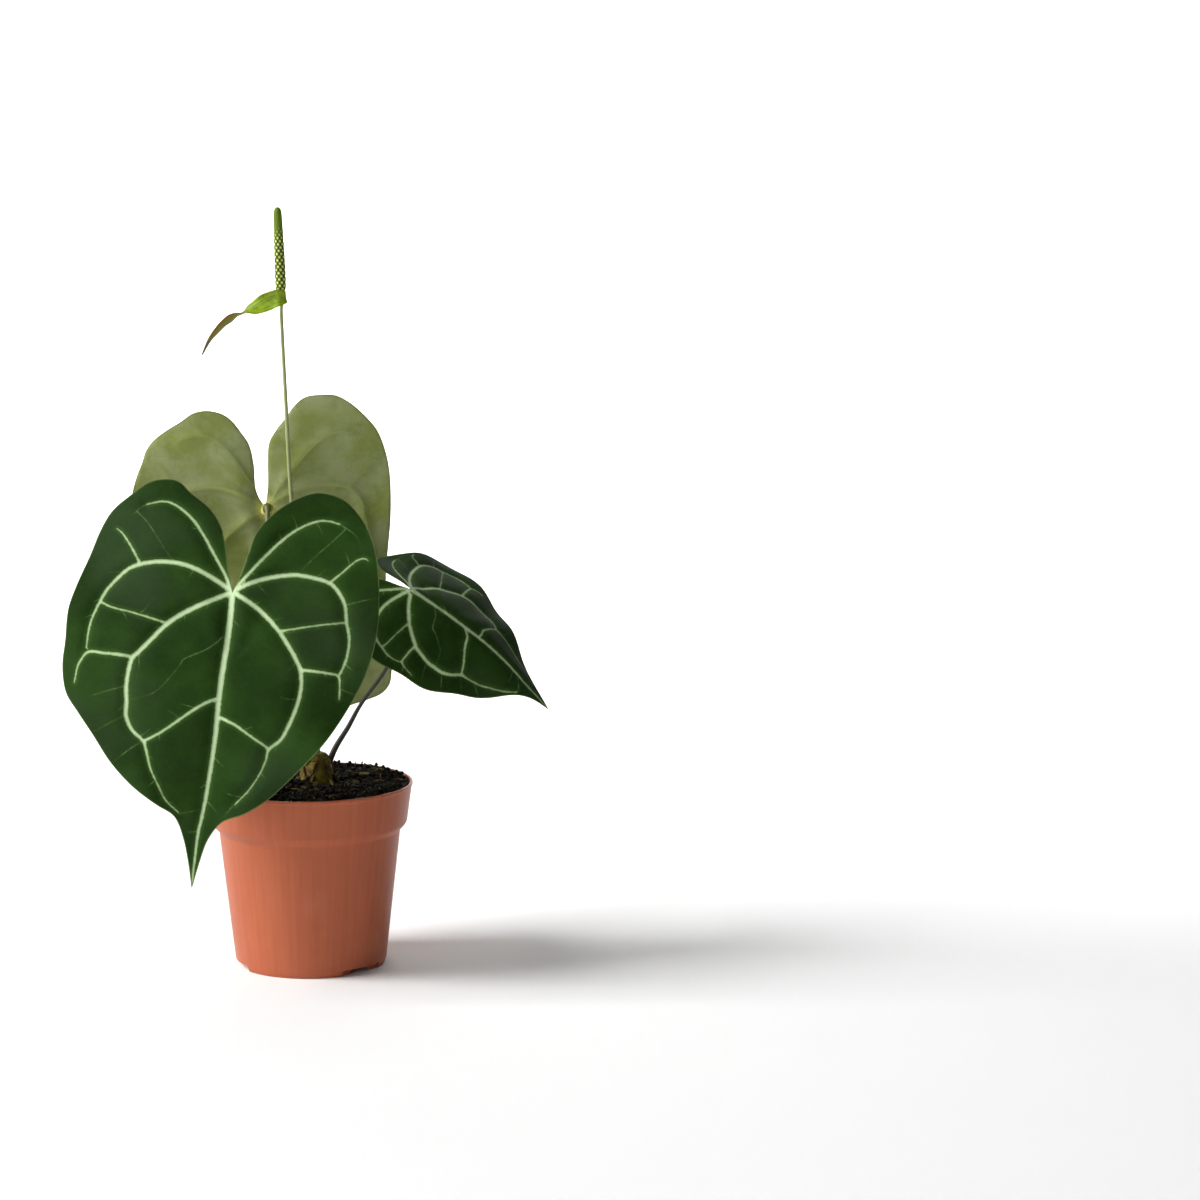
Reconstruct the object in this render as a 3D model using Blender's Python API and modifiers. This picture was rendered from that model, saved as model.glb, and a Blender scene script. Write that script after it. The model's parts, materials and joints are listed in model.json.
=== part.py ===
"""Anthurium clarinervium in a plastic nursery pot.

A blunt stem with three velvety heart-shaped leaves on thin stalks and one flower spike, standing in a
filled pot. Metres, +Z up, origin at the centre of the pot's base. The front of the plant faces -Y.
"""
import math

import bmesh
import bpy
import numpy as np
from mathutils import Matrix, Vector, geometry, noise

MM = 0.001
FIT_GAP = 0.3 * MM

# Pot
POT_HEIGHT = 107 * MM
RIM_RADIUS = 60 * MM
BAND_FOOT_RADIUS = 56.4 * MM
BODY_TOP_RADIUS = 52.5 * MM
BASE_RADIUS = 43.6 * MM
BAND_HEIGHT = 24 * MM
SHOULDER_HEIGHT = 4 * MM
WALL = 1.2 * MM
FOOT_HEIGHT = 4 * MM
FOOT_RING = 3.4 * MM
FLOOR = 1.4 * MM
PAD_RADIUS = 8 * MM
NOTCH_ANGLES = (48, 168, 288)
NOTCH_WIDTH = 29 * MM
DRAIN_RADIUS = 3 * MM
DRAIN_RING_RADIUS = 28 * MM
DRAIN_COUNT = 6
POT_STEPS = 48

# Potting mix
SOIL_TOP = 105.5 * MM
SOIL_BUMP = 1.8 * MM
SOIL_RINGS = 9
SOIL_STEPS = 44

# Stem
STEM_X, STEM_Y = 4.5 * MM, 1 * MM
STEM_FOOT = 80 * MM
STEM_TOP = 124 * MM
STEM_RADIUS = 10.6 * MM
STEM_STEPS = 20
SOCKET_EXTRA = 0.35 * MM

# The blades were laid out as they look from this angle above level.
LOOK_DOWN = math.radians(8.65)
SIDE = Vector((1, 0, 0))
UP = Vector((0, math.sin(LOOK_DOWN), math.cos(LOOK_DOWN)))
TOWARDS = Vector((0, -math.cos(LOOK_DOWN), math.sin(LOOK_DOWN)))
BLADE_THICKNESS = 0.8 * MM

# Each outline runs from the notch where the stalk joins to the drip tip, down one side, in millimetres from
# the stalk joint: across the blade, then up it towards the lobes.
FRONT_LEFT = [(0, 0), (-2.8, 11), (-4.8, 25.5), (-8.2, 37.5), (-15, 47.5), (-25.5, 56), (-32.5, 62.5),
              (-41, 63.9), (-50, 61.8), (-58.8, 55.3), (-69.6, 46), (-76.2, 34.4), (-81.6, 19.4),
              (-87.7, 4.2), (-92.4, -10), (-94, -27), (-95.3, -41), (-92.7, -55.5), (-85.6, -66.5),
              (-77.6, -78.5), (-67.5, -94.5), (-55, -107.6), (-41.2, -118.2), (-31.4, -125),
              (-26.7, -137), (-24, -151), (-22.3, -165.5)]
FRONT_RIGHT = [(0, 0), (5, 11), (9, 23), (13.5, 34.5), (24.3, 46), (38.5, 54.3), (49.5, 55.9), (62, 51.2),
               (72.2, 39.7), (79, 25), (81.6, 7.5), (81.8, -11), (80, -28.6), (74.6, -47.4),
               (63.6, -67.8), (51, -86), (35.3, -102.4), (21.2, -115.5), (8, -123.6), (-4.7, -128.3),
               (-12.8, -138), (-17.5, -150), (-22.3, -165.5)]
BACK_LEFT = [(0, 0), (-2, 12), (-2.4, 24.5), (-3.4, 36.2), (-7.9, 44), (-13.6, 50.8), (-19.4, 58.2),
             (-25.9, 62.7), (-33.8, 63.8), (-42.8, 63.6), (-50.7, 59.7), (-58.2, 53.3), (-65.8, 44.4),
             (-70.1, 33.3), (-72.4, 21.5), (-73.1, 6), (-72.4, -10), (-70.3, -27), (-69, -42),
             (-69.9, -60), (-71.4, -78), (-71.9, -92), (-70.9, -102.5), (-66, -109), (-57.1, -113),
             (-49.2, -115.5), (-42.8, -118.5), (-36, -122.5), (-30, -129), (-27, -139)]
BACK_RIGHT = [(0, 0), (3.4, 5), (5.5, 11.8), (5.9, 24.5), (8, 35.5), (12, 42), (17.3, 49.1), (23.1, 53.1),
              (31.3, 54.8), (39.6, 53.3), (47.4, 48.4), (55.1, 44.2), (63.3, 38.5), (68.3, 32.4),
              (70.9, 25.5), (74.2, 17.7), (77.6, 6), (79.7, -10), (78.3, -28), (73.2, -46), (64.6, -63),
              (52.4, -79), (37.2, -93), (20.1, -104.5), (3, -112), (-8, -116.5), (-17, -121.5),
              (-23, -129), (-27, -139)]
SIDE_LEFT = [(0, 0), (-1.6, 8), (-3, 18), (-7.5, 26.5), (-15, 32), (-24, 32.5), (-32, 27), (-38, 18),
             (-41.5, 7), (-43.3, -5), (-44, -18), (-42, -33), (-37, -48), (-29, -61), (-20, -72),
             (-11.5, -81), (-6, -88), (-2, -95), (2, -104)]
SIDE_RIGHT = [(0, 0), (1.4, 8), (2.7, 18), (5.5, 23), (12.5, 26.5), (20.5, 26.5), (29, 22.5), (38, 16),
              (46.5, 9), (52, -2), (53.5, -15), (51, -29.5), (42, -45), (34, -57), (25, -68), (16.5, -77),
              (10, -85), (5.5, -93), (2, -104)]

# Main veins of the front blade, in the same millimetres. The other blades take them scaled to their outline.
FRONT_MIDRIB = [(0, 0), (-1.1, -14), (-2.6, -29), (-4.9, -44), (-6.8, -60), (-8.6, -80), (-11.6, -101),
                (-15, -120), (-18.3, -134), (-20.4, -149), (-22.3, -165)]
FRONT_VEINS = [
    [(0, 0), (-5, 10.5), (-10.5, 20), (-16.5, 30.5), (-22.8, 39.7), (-29.3, 46), (-35.5, 49.9), (-41.6, 51.2),
     (-50, 49.5)],
    [(0, 0), (-10, 6.9), (-19.6, 12.4), (-28, 15.5), (-35, 16.8), (-44, 17), (-52.6, 15.6), (-59, 13),
     (-65.2, 7.5), (-70.7, 1.3), (-74.5, -5.5), (-78.5, -14), (-80.6, -22), (-81.7, -31)],
    [(0, 0), (-10.2, -4), (-19.6, -8), (-28, -12.2), (-36.3, -17.8), (-44.8, -26.2), (-52, -33.5),
     (-55.8, -37.5), (-57.8, -46), (-58.6, -54), (-58.2, -62), (-58.5, -69), (-55, -77), (-48.7, -83.2),
     (-46.5, -91), (-44.3, -99), (-40, -108), (-36, -116), (-29, -123)],
    [(0, 0), (8.6, 9.9), (16.5, 18.5), (24.3, 26.4), (31, 32.2), (38.5, 36.8), (46.3, 39.7), (52.6, 39.9),
     (59, 38.2)],
    [(0, 0), (8.6, 4.4), (18.1, 7.4), (27.5, 9), (34.8, 9.5), (43.5, 8.2), (54.2, 4.9), (59.7, -1), (63, -8.2),
     (63.8, -17), (65.4, -25.5), (64.6, -35), (62, -43), (59.7, -47.2)],
    [(0, 0), (10.5, -6.5), (19, -13.8), (25.9, -21.5), (31, -29), (35.3, -36.4), (38.5, -43.8), (39, -53),
     (37, -62.5), (33.2, -72.6), (28, -82.3), (21.2, -87.8), (19.6, -94), (15.7, -102.4), (10.2, -110.4),
     (2.4, -118.5)],
]
GROOVE_REACH = 4.5
EDGE_INSET = 4.6

# Stalks, in millimetres: the route from the foot in the stem to below the joint, and the radii on the way. A
# stalk ends STALK_GAP under its blade.
STALK_GAP = 0.85 * MM
FRONT_STALK = [(1.7, -2.2, 113), (-5, -8, 132), (-15, -22, 166), (-28, -40, 203)]
BACK_STALK = [(2.2, 4.6, 113), (-3.8, 6, 136), (-13, 6.5, 180), (-24, 9, 228)]
SIDE_STALK = [(8.5, 2.3, 109), (14.3, 3, 124.6), (22.5, 5, 138), (30.4, 7, 151.9), (44.8, 5, 172.1),
              (54.6, 1, 194)]
FLOWER_STALK = [(6.4, -2.9, 114), (4, -3.2, 140), (-1.6, -4, 200), (-8, -6, 273.8), (-10.4, -8.6, 332.4),
                (-12, -9.8, 375.5)]
FOOT_RADIUS, NECK_RADIUS, STALK_RADIUS, KNOB_RADIUS, END_RADIUS = 2.1, 1.5, 1.25, 1.35, 1.15
FLOWER_STALK_RADII = [1.5, 1.3, 1.15, 1.05, 1.0, 0.95, 1.05, 1.95, 1.7]

# Flower spike, in millimetres
SPIKE_FOOT, SPIKE_TOP = Vector((-12.1, -10, 391.4)), Vector((-13.6, -10, 439.4))
SPIKE_RADIUS = 3.05
SPIKE_STEPS, SPIKE_RINGS, FLORET_TURNS = 22, 40, 11
SPATHE_SPINE = [(-9.35, -10.1, 388.4), (-9.5, -12.7, 388.7), (-12.7, -14.1, 388.4), (-16.6, -14.2, 387.2),
                (-20.8, -14.5, 385.3), (-25, -15, 383), (-29.4, -15.5, 381.2), (-34.1, -16, 379.4),
                (-38.3, -17, 377.7), (-42.8, -18, 375), (-47, -19, 370.9), (-51.8, -20, 365.2),
                (-56.3, -21, 356.6)]
SPATHE_WIDTHS = [3, 6, 8.6, 10, 10.4, 9.6, 8.2, 7, 6.6, 5.8, 4.4, 2.8, 0.8]
SPATHE_TWISTS = [80, 80, 76, 74, 72, 56, 30, -8, -38, -52, -56, -58, -58]
SPATHE_CUPS = [0, 0.2, 0.6, 1, 1.1, 1, 0.8, 0.6, 0.5, 0.5, 0.4, 0.2, 0.1]
SPATHE_COLUMNS = 6
SPATHE_THICKNESS = 0.7 * MM


class Blade:
    """One leaf blade: its outline and its form, in millimetres and in its own axes."""

    def __init__(self, name, joint, axes, outline, spacing, mirrored=False, **form):
        """The joint's place and the outline in millimetres; form holds the numbers that depth uses."""
        self.name = name
        self.joint = Vector(joint) * MM
        self.across, self.up, self.face = axes
        self.left, self.right = (smooth_line(side) for side in outline)
        self.length = -self.left[-1][1]
        self.half_width = max(-self.left[:, 0].min(), self.right[:, 0].max())
        self.spacing = spacing
        self.mirrored = mirrored
        self.form = form
        self.edge = np.vstack([self.left, self.right[-2:0:-1]])
        self.veins = self.main_veins()

    def main_veins(self):
        """The front blade's main veins, scaled along each ray from the joint to this blade's outline."""
        turn = -1 if self.mirrored else 1
        front_tip = bearing(np.array(FRONT_LEFT[-1]) * (turn, 1))
        tip = bearing(self.left[-1])
        there = []
        for line in [FRONT_MIDRIB, *FRONT_VEINS]:
            points = smooth_line(line)
            turned_to = bearing(points * (turn, 1))
            swung = np.interp(turned_to, (-math.pi, front_tip, math.pi), (-math.pi, tip, math.pi))
            far = np.hypot(*points.T) * reach(self.edge, swung) / reach(FRONT_EDGE, bearing(points))
            there.append(np.column_stack([np.sin(swung), -np.cos(swung)]) * far[:, None])
        return there

    def depth(self, points):
        """Height over the flat layout, towards the upper face, of points across and up the blade."""
        u, v = points[:, 0], points[:, 1]
        form = self.form
        along = -v / self.length
        lean = form["slope"] * along - np.where(along > 0, form["droop"], form["lobe_curl"]) * along**2
        middle = u - np.interp(-v, -self.veins[0][:, 1], self.veins[0][:, 0])
        soft = np.sqrt(middle**2 + 36) - 6
        cross = form["fold"] * soft - form["roll"] * middle**2 / self.half_width
        near = distance(points, self.edge)
        around = bearing(points + (0, self.length / 4))
        wave = form["ripple"] * np.exp(-near / 14) * np.sin(form["waves"] * around + form["phase"])
        away = np.min([distance(points, line) for line in self.veins], axis=0)
        fade = np.clip(np.hypot(u, v) / 12, 0, 1) * np.clip(near / 10, 0, 1)
        groove = form["groove"] * np.exp(-(away / GROOVE_REACH) ** 2) * fade
        return self.length * lean + cross + wave - groove

    def place(self, points):
        """Points across and up the blade as places in the model."""
        heights = self.depth(np.asarray(points, float))
        return [
            self.joint + (self.across * float(u) + self.up * float(v) + self.face * float(w)) * MM
            for (u, v), w in zip(points, heights)
        ]


def smooth_line(points, pieces=6):
    """A Catmull-Rom line through the points, with this many pieces between each two."""
    p = np.array(points, float)
    p = np.vstack([2 * p[0] - p[1], p, 2 * p[-1] - p[-2]])
    t = np.linspace(0, 1, pieces, endpoint=False)[:, None]
    runs = [
        0.5 * (2 * b + (c - a) * t + (2 * a - 5 * b + 4 * c - d) * t**2 + (3 * b - a - 3 * c + d) * t**3)
        for a, b, c, d in zip(p, p[1:], p[2:], p[3:])
    ]
    return np.vstack([*runs, p[-2:-1]])


def spaced(line, step):
    """The line as points one step apart or a little less, its ends kept."""
    length = np.concatenate([[0], np.cumsum(np.linalg.norm(np.diff(line, axis=0), axis=1))])
    where = np.linspace(0, length[-1], max(2, math.ceil(length[-1] / step) + 1))
    return np.column_stack([np.interp(where, length, line[:, axis]) for axis in (0, 1)])


def distance(points, line):
    """How far each point lies from the line."""
    start, step = line[:-1], np.diff(line, axis=0)
    square = np.maximum((step**2).sum(1), 1e-9)
    along = np.clip(((points[:, None] - start) * step).sum(2) / square, 0, 1)
    return np.linalg.norm(points[:, None] - (start + along[..., None] * step), axis=2).min(1)


def bearing(points):
    """Each point's direction from the stalk joint, as an angle from straight down."""
    return np.arctan2(points[..., 0], -points[..., 1])


def reach(edge, angles):
    """How far the outline lies from the stalk joint in each direction."""
    edge = edge[np.hypot(*edge.T) > 1]
    order = np.argsort(bearing(edge))
    return np.interp(angles, bearing(edge)[order], np.hypot(*edge.T)[order])


def inside(points, edge):
    """Whether each point lies within the closed outline."""
    x, y = points[:, 0][:, None], points[:, 1][:, None]
    x0, y0 = edge.T
    x1, y1 = np.roll(edge, -1, axis=0).T
    crosses = (y0 > y) != (y1 > y)
    at = x0 + (y - y0) * (x1 - x0) / np.where(y1 == y0, 1e-9, y1 - y0)
    return (crosses & (x < at)).sum(1) % 2 == 1


FRONT_EDGE = np.vstack([smooth_line(FRONT_LEFT), smooth_line(FRONT_RIGHT)[-2:0:-1]])


def blade_points(blade):
    """Points for a blade's sheet, and the edges that it keeps: the outline and the veins."""
    step = blade.spacing
    ring = np.vstack([spaced(blade.left, step)[:-1], spaced(blade.right, step)[::-1][:-1]])
    kept = [tuple(p) for p in ring]
    edges = [(i, (i + 1) % len(ring)) for i in range(len(ring))]
    outline = np.array(kept)

    def add(point, least):
        """Keeps a point that lies inside the outline and at least this far from all others."""
        if (np.hypot(*(np.array(kept) - point).T) >= least).all() and inside(np.array([point]), outline)[0]:
            kept.append(tuple(point))
            return len(kept) - 1
        return None

    run = np.roll(outline, -1, axis=0) - np.roll(outline, 1, axis=0)
    beside = np.column_stack([-run[:, 1], run[:, 0]]) / np.linalg.norm(run, axis=1)[:, None]
    for line in blade.veins:
        last = None
        for point in spaced(line, step)[1:]:
            here = add(point, step * 0.5)
            if here is not None and last is not None:
                edges.append((last, here))
            last = here
    for point in outline + beside * EDGE_INSET:
        add(point, step * 0.6)
    for line in blade.veins:
        points = spaced(line, step)
        run = np.gradient(points, axis=0)
        beside = np.column_stack([-run[:, 1], run[:, 0]]) / np.linalg.norm(run, axis=1)[:, None]
        for offset in (GROOVE_REACH * 0.9, -GROOVE_REACH * 0.9):
            for point in points + beside * offset:
                add(point, step * 0.6)
    low, high = outline.min(0), outline.max(0)
    pitch = step * 1.5
    for row, v in enumerate(np.arange(low[1], high[1], pitch * 0.87)):
        for u in np.arange(low[0] + (row % 2) * pitch / 2, high[0], pitch):
            add(np.array([u, v]), pitch * 0.72)
    return kept, edges


def make_blade(collection, blade, material):
    """The blade as a triangulated sheet on its upper face, thickened downwards."""
    points, edges = blade_points(blade)
    flat, _, faces, *_ = geometry.delaunay_2d_cdt([Vector(p) for p in points], edges, [], 1, 1e-6)
    mesh = bpy.data.meshes.new(blade.name)
    mesh.from_pydata(blade.place(np.array([tuple(p) for p in flat])), [], [list(face) for face in faces])
    sheet = bpy.data.objects.new(blade.name, mesh)
    collection.objects.link(sheet)
    if sum((p.normal.dot(blade.face) for p in mesh.polygons)) < 0:
        mesh.flip_normals()
    thick = sheet.modifiers.new("Thickness", "SOLIDIFY")
    thick.thickness = BLADE_THICKNESS
    thick.offset = -1
    finish(sheet, material)
    return sheet


def finish(obj, material):
    """Gives the object its material and smooth shading."""
    obj.data.materials.append(material)
    if obj.type == "MESH":
        obj.data.shade_smooth()
        obj.data.set_sharp_from_angle(angle=math.radians(40))


def make_material(name, colour, roughness):
    """A plain material of one colour."""
    material = bpy.data.materials.new(name)
    material.use_nodes = True
    shader = material.node_tree.nodes["Principled BSDF"]
    shader.inputs["Base Color"].default_value = (*colour, 1)
    shader.inputs["Roughness"].default_value = roughness
    shader.inputs["Metallic"].default_value = 0
    material.diffuse_color = (*colour, 1)
    return material


def turned(collection, name, profile, steps):
    """A closed solid turned round Z from a profile of (radius, height) that ends on the axis."""
    mesh = bpy.data.meshes.new(name)
    points = [(r, 0, z) for r, z in profile]
    mesh.from_pydata(points, [(i, i + 1) for i in range(len(points) - 1)], [])
    obj = bpy.data.objects.new(name, mesh)
    collection.objects.link(obj)
    screw = obj.modifiers.new("Turn", "SCREW")
    screw.steps = screw.render_steps = steps
    screw.use_merge_vertices = True
    screw.merge_threshold = 0.00005
    return obj


def as_mesh(collection, obj):
    """The object replaced by its evaluated mesh, welded and with its place applied."""
    bpy.context.view_layer.update()
    evaluated = obj.evaluated_get(bpy.context.evaluated_depsgraph_get())
    mesh = bpy.data.meshes.new_from_object(evaluated)
    mesh.transform(obj.matrix_world)
    name, material = obj.name, obj.active_material
    bpy.data.objects.remove(obj)
    work = bmesh.new()
    work.from_mesh(mesh)
    bmesh.ops.remove_doubles(work, verts=work.verts, dist=0.00001)
    bmesh.ops.recalc_face_normals(work, faces=work.faces)
    work.to_mesh(mesh)
    work.free()
    mesh.name = name
    made = bpy.data.objects.new(name, mesh)
    collection.objects.link(made)
    if material and not mesh.materials:
        mesh.materials.append(material)
    return made


def cut(obj, cutter):
    """Cuts the cutter's shape out of the object, and keeps the cutter as a wire frame."""
    boolean = obj.modifiers.new(cutter.name, "BOOLEAN")
    boolean.operation = "DIFFERENCE"
    boolean.object = cutter
    boolean.solver = "EXACT"
    cutter.hide_render = True
    cutter.display_type = "WIRE"


def tube(collection, name, route, radii, material=None, resolution=2):
    """A stalk: a smooth route in millimetres, with the radius at each of its points."""
    rows = np.column_stack([np.array(route, float), np.array(radii, float)])
    rows = smooth_line(rows, 3)
    curve = bpy.data.curves.new(name, "CURVE")
    curve.dimensions = "3D"
    curve.bevel_depth = 1 * MM
    curve.bevel_resolution = resolution
    curve.use_fill_caps = True
    spline = curve.splines.new("POLY")
    spline.points.add(len(rows) - 1)
    for point, (x, y, z, radius) in zip(spline.points, rows):
        point.co = (x * MM, y * MM, z * MM, 1)
        point.radius = radius
    obj = bpy.data.objects.new(name, curve)
    collection.objects.link(obj)
    if material:
        curve.materials.append(material)
    return obj


def inner_radius(z):
    """The pot's inside radius at a height below its shoulder."""
    share = (z - FOOT_HEIGHT) / (POT_HEIGHT - BAND_HEIGHT - SHOULDER_HEIGHT - FOOT_HEIGHT)
    return BASE_RADIUS + (BODY_TOP_RADIUS - BASE_RADIUS) * share - WALL


def make_pot(collection, cutters, material):
    """The pot: a tapered body with a deep rim band, a raised floor, foot notches and drain holes."""
    shoulder = POT_HEIGHT - BAND_HEIGHT - SHOULDER_HEIGHT
    band = POT_HEIGHT - BAND_HEIGHT
    lip = 1.6 * MM
    outside = [
        (RIM_RADIUS - 0.5 * MM, POT_HEIGHT),
        (RIM_RADIUS, POT_HEIGHT - 0.5 * MM),
        (RIM_RADIUS, POT_HEIGHT - lip),
        (RIM_RADIUS - 0.6 * MM, POT_HEIGHT - lip - 0.6 * MM),
        (BAND_FOOT_RADIUS + 0.15 * MM, band + 1 * MM),
        (BAND_FOOT_RADIUS - 0.5 * MM, band - 0.2 * MM),
        (BODY_TOP_RADIUS + 0.6 * MM, shoulder + 0.6 * MM),
        (BODY_TOP_RADIUS, shoulder - 0.8 * MM),
        (BASE_RADIUS + 0.2 * MM, 3 * MM),
        (BASE_RADIUS - 0.5 * MM, 1 * MM),
        (BASE_RADIUS - 1.4 * MM, 0),
        (BASE_RADIUS - FOOT_RING, 0),
        (BASE_RADIUS - FOOT_RING - 0.8 * MM, FOOT_HEIGHT),
        (PAD_RADIUS + 0.8 * MM, FOOT_HEIGHT),
        (PAD_RADIUS, 0),
        (0, 0),
    ]
    floor_top = FOOT_HEIGHT + FLOOR
    within = [
        (0, floor_top),
        (inner_radius(floor_top) - 1.5 * MM, floor_top),
        (inner_radius(floor_top), floor_top + 1.5 * MM),
        (BODY_TOP_RADIUS - WALL, shoulder),
        (BAND_FOOT_RADIUS - 0.5 * MM - WALL, band),
        (RIM_RADIUS - 0.6 * MM - WALL, POT_HEIGHT - lip),
        (RIM_RADIUS - 0.5 * MM - WALL, POT_HEIGHT - 0.4 * MM),
        (RIM_RADIUS - 1.1 * MM, POT_HEIGHT),
    ]
    pot = turned(collection, "pot", outside + within + outside[:1], POT_STEPS)
    pot = as_mesh(collection, pot)
    for number, angle in enumerate(NOTCH_ANGLES):
        turn = math.radians(angle - 90)
        bpy.ops.mesh.primitive_cube_add(size=1)
        box = bpy.context.object
        box.name = f"foot_notch_{number}"
        reach_out = 2.5 * FOOT_RING
        box.data.transform(Matrix.Diagonal((reach_out, NOTCH_WIDTH, 2 * (FOOT_HEIGHT - 0.4 * MM), 1)))
        box.location = (BASE_RADIUS * math.cos(turn), BASE_RADIUS * math.sin(turn), 0)
        box.rotation_euler.z = turn
        into(cutters, box)
        cut(pot, box)
    for number in range(DRAIN_COUNT):
        turn = 2 * math.pi * (number + 0.3) / DRAIN_COUNT
        bpy.ops.mesh.primitive_cylinder_add(vertices=16, radius=DRAIN_RADIUS, depth=6 * FLOOR)
        hole = bpy.context.object
        hole.name = f"drain_hole_{number}"
        across, along = DRAIN_RING_RADIUS * math.cos(turn), DRAIN_RING_RADIUS * math.sin(turn)
        hole.location = (across, along, FOOT_HEIGHT)
        into(cutters, hole)
        cut(pot, hole)
    finish(pot, material)
    return pot


def into(collection, obj):
    """Moves the object into the collection."""
    for other in list(obj.users_collection):
        other.objects.unlink(obj)
    collection.objects.link(obj)


def make_soil(collection, material):
    """The potting mix: a plug of the pot's inner shape with a lumpy top."""
    gap = FIT_GAP + 0.15 * MM
    floor_top = FOOT_HEIGHT + FLOOR + gap
    shoulder = POT_HEIGHT - BAND_HEIGHT - SHOULDER_HEIGHT
    band = POT_HEIGHT - BAND_HEIGHT
    band_inside = BAND_FOOT_RADIUS - 0.5 * MM - WALL
    rim_inside = RIM_RADIUS - 0.6 * MM - WALL
    edge_radius = band_inside + (rim_inside - band_inside) * (SOIL_TOP - band) / (POT_HEIGHT - band)
    top = [(edge_radius * ring / SOIL_RINGS, SOIL_TOP) for ring in range(SOIL_RINGS)]
    side = [
        (edge_radius - gap - 0.3 * MM, SOIL_TOP - 1 * MM),
        (band_inside - gap - 0.3 * MM, band),
        (BODY_TOP_RADIUS - WALL - gap - 0.3 * MM, shoulder - 0.6 * MM),
        (inner_radius(floor_top) - gap - 0.3 * MM, floor_top + 2 * MM),
        (inner_radius(floor_top) - gap - 2 * MM, floor_top),
        (0, floor_top),
    ]
    soil = as_mesh(collection, turned(collection, "potting_mix", top + side, SOIL_STEPS))
    for vertex in soil.data.vertices:
        if vertex.co.z > SOIL_TOP - 0.1 * MM:
            lump = noise.noise(vertex.co / (7 * MM)) + 0.5 * noise.noise(vertex.co / (3.1 * MM))
            dome = 1 - (vertex.co.xy.length / edge_radius) ** 2
            vertex.co.z += SOIL_BUMP * (lump + 0.8 * dome)
    finish(soil, material)
    return soil


def make_stem(collection, cutters, stalks, material):
    """The blunt stem, with leaf scars as low rings and a socket for each stalk."""
    tall = STEM_TOP - STEM_FOOT
    rows = 12
    profile = [(0, STEM_TOP)]
    for row in range(rows + 1):
        share = row / rows
        scar = 0.35 * MM * (1 if row % 2 else -1)
        shrink = 1 - 0.34 * (1 - share) ** 1.5 - (0.3 if row == 0 else 0)
        scar_here = scar if 0 < row < rows else 0
        round_off = 1.5 * MM if row == 0 else 0
        profile.append((STEM_RADIUS * shrink + scar_here, STEM_TOP - round_off - share * tall))
    profile.append((0, STEM_FOOT))
    stem = turned(collection, "stem", profile, STEM_STEPS)
    stem.location = (STEM_X, STEM_Y, 0)
    stem = as_mesh(collection, stem)
    for name, (route, radii) in stalks.items():
        wide = [radius + SOCKET_EXTRA / MM for radius in radii[:3]]
        first, second = Vector(route[0]), Vector(route[1])
        start = first - (second - first).normalized() * SOCKET_EXTRA / MM
        socket = as_mesh(cutters, tube(cutters, f"socket_{name}", [tuple(start), *route[1:3]], wide))
        cut(stem, socket)
    finish(stem, material)
    return stem


def make_stem_hole(cutters, soil):
    """The plain hole in the mix that the stem stands in."""
    tall = STEM_TOP - STEM_FOOT
    bpy.ops.mesh.primitive_cylinder_add(vertices=24, radius=STEM_RADIUS + 1 * MM, depth=2 * tall)
    hole = bpy.context.object
    hole.name = "stem_hole"
    hole.location = (STEM_X, STEM_Y, STEM_FOOT - FIT_GAP + tall)
    into(cutters, hole)
    cut(soil, hole)


def make_spadix(collection, material):
    """The flower spike: a blunt column with its florets raised in crossing spirals."""
    axis = (SPIKE_TOP - SPIKE_FOOT) * MM
    bpy.ops.mesh.primitive_uv_sphere_add(segments=SPIKE_STEPS, ring_count=SPIKE_RINGS, radius=1)
    spadix = bpy.context.object
    spadix.name = "spadix"
    into(collection, spadix)
    swing = axis.to_track_quat("Z", "Y")
    foot_end, blunt_end = 0.05, 0.93
    for vertex in spadix.data.vertices:
        share = math.acos(max(-1, min(1, -vertex.co.z))) / math.pi
        angle = math.atan2(vertex.co.y, vertex.co.x)
        low = min(1, share / foot_end)
        high = max(0, share - blunt_end) / (1 - blunt_end)
        ends = math.sqrt(max(0, 1 - (1 - low) ** 2)) * math.sqrt(max(0, 1 - high**2))
        taper = (1 - 0.36 * share**1.6) * (0.9 + 0.1 * min(1, share / 0.2))
        floret = math.cos(FLORET_TURNS * angle) * math.cos(SPIKE_RINGS * math.pi / 2 * share)
        wide = SPIKE_RADIUS * MM * taper * ends * (1 + 0.06 * floret * (1 - share**3))
        around = Vector((wide * math.cos(angle), wide * math.sin(angle), share * axis.length))
        vertex.co = SPIKE_FOOT * MM + swing @ around
    finish(spadix, material)
    return spadix


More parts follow.
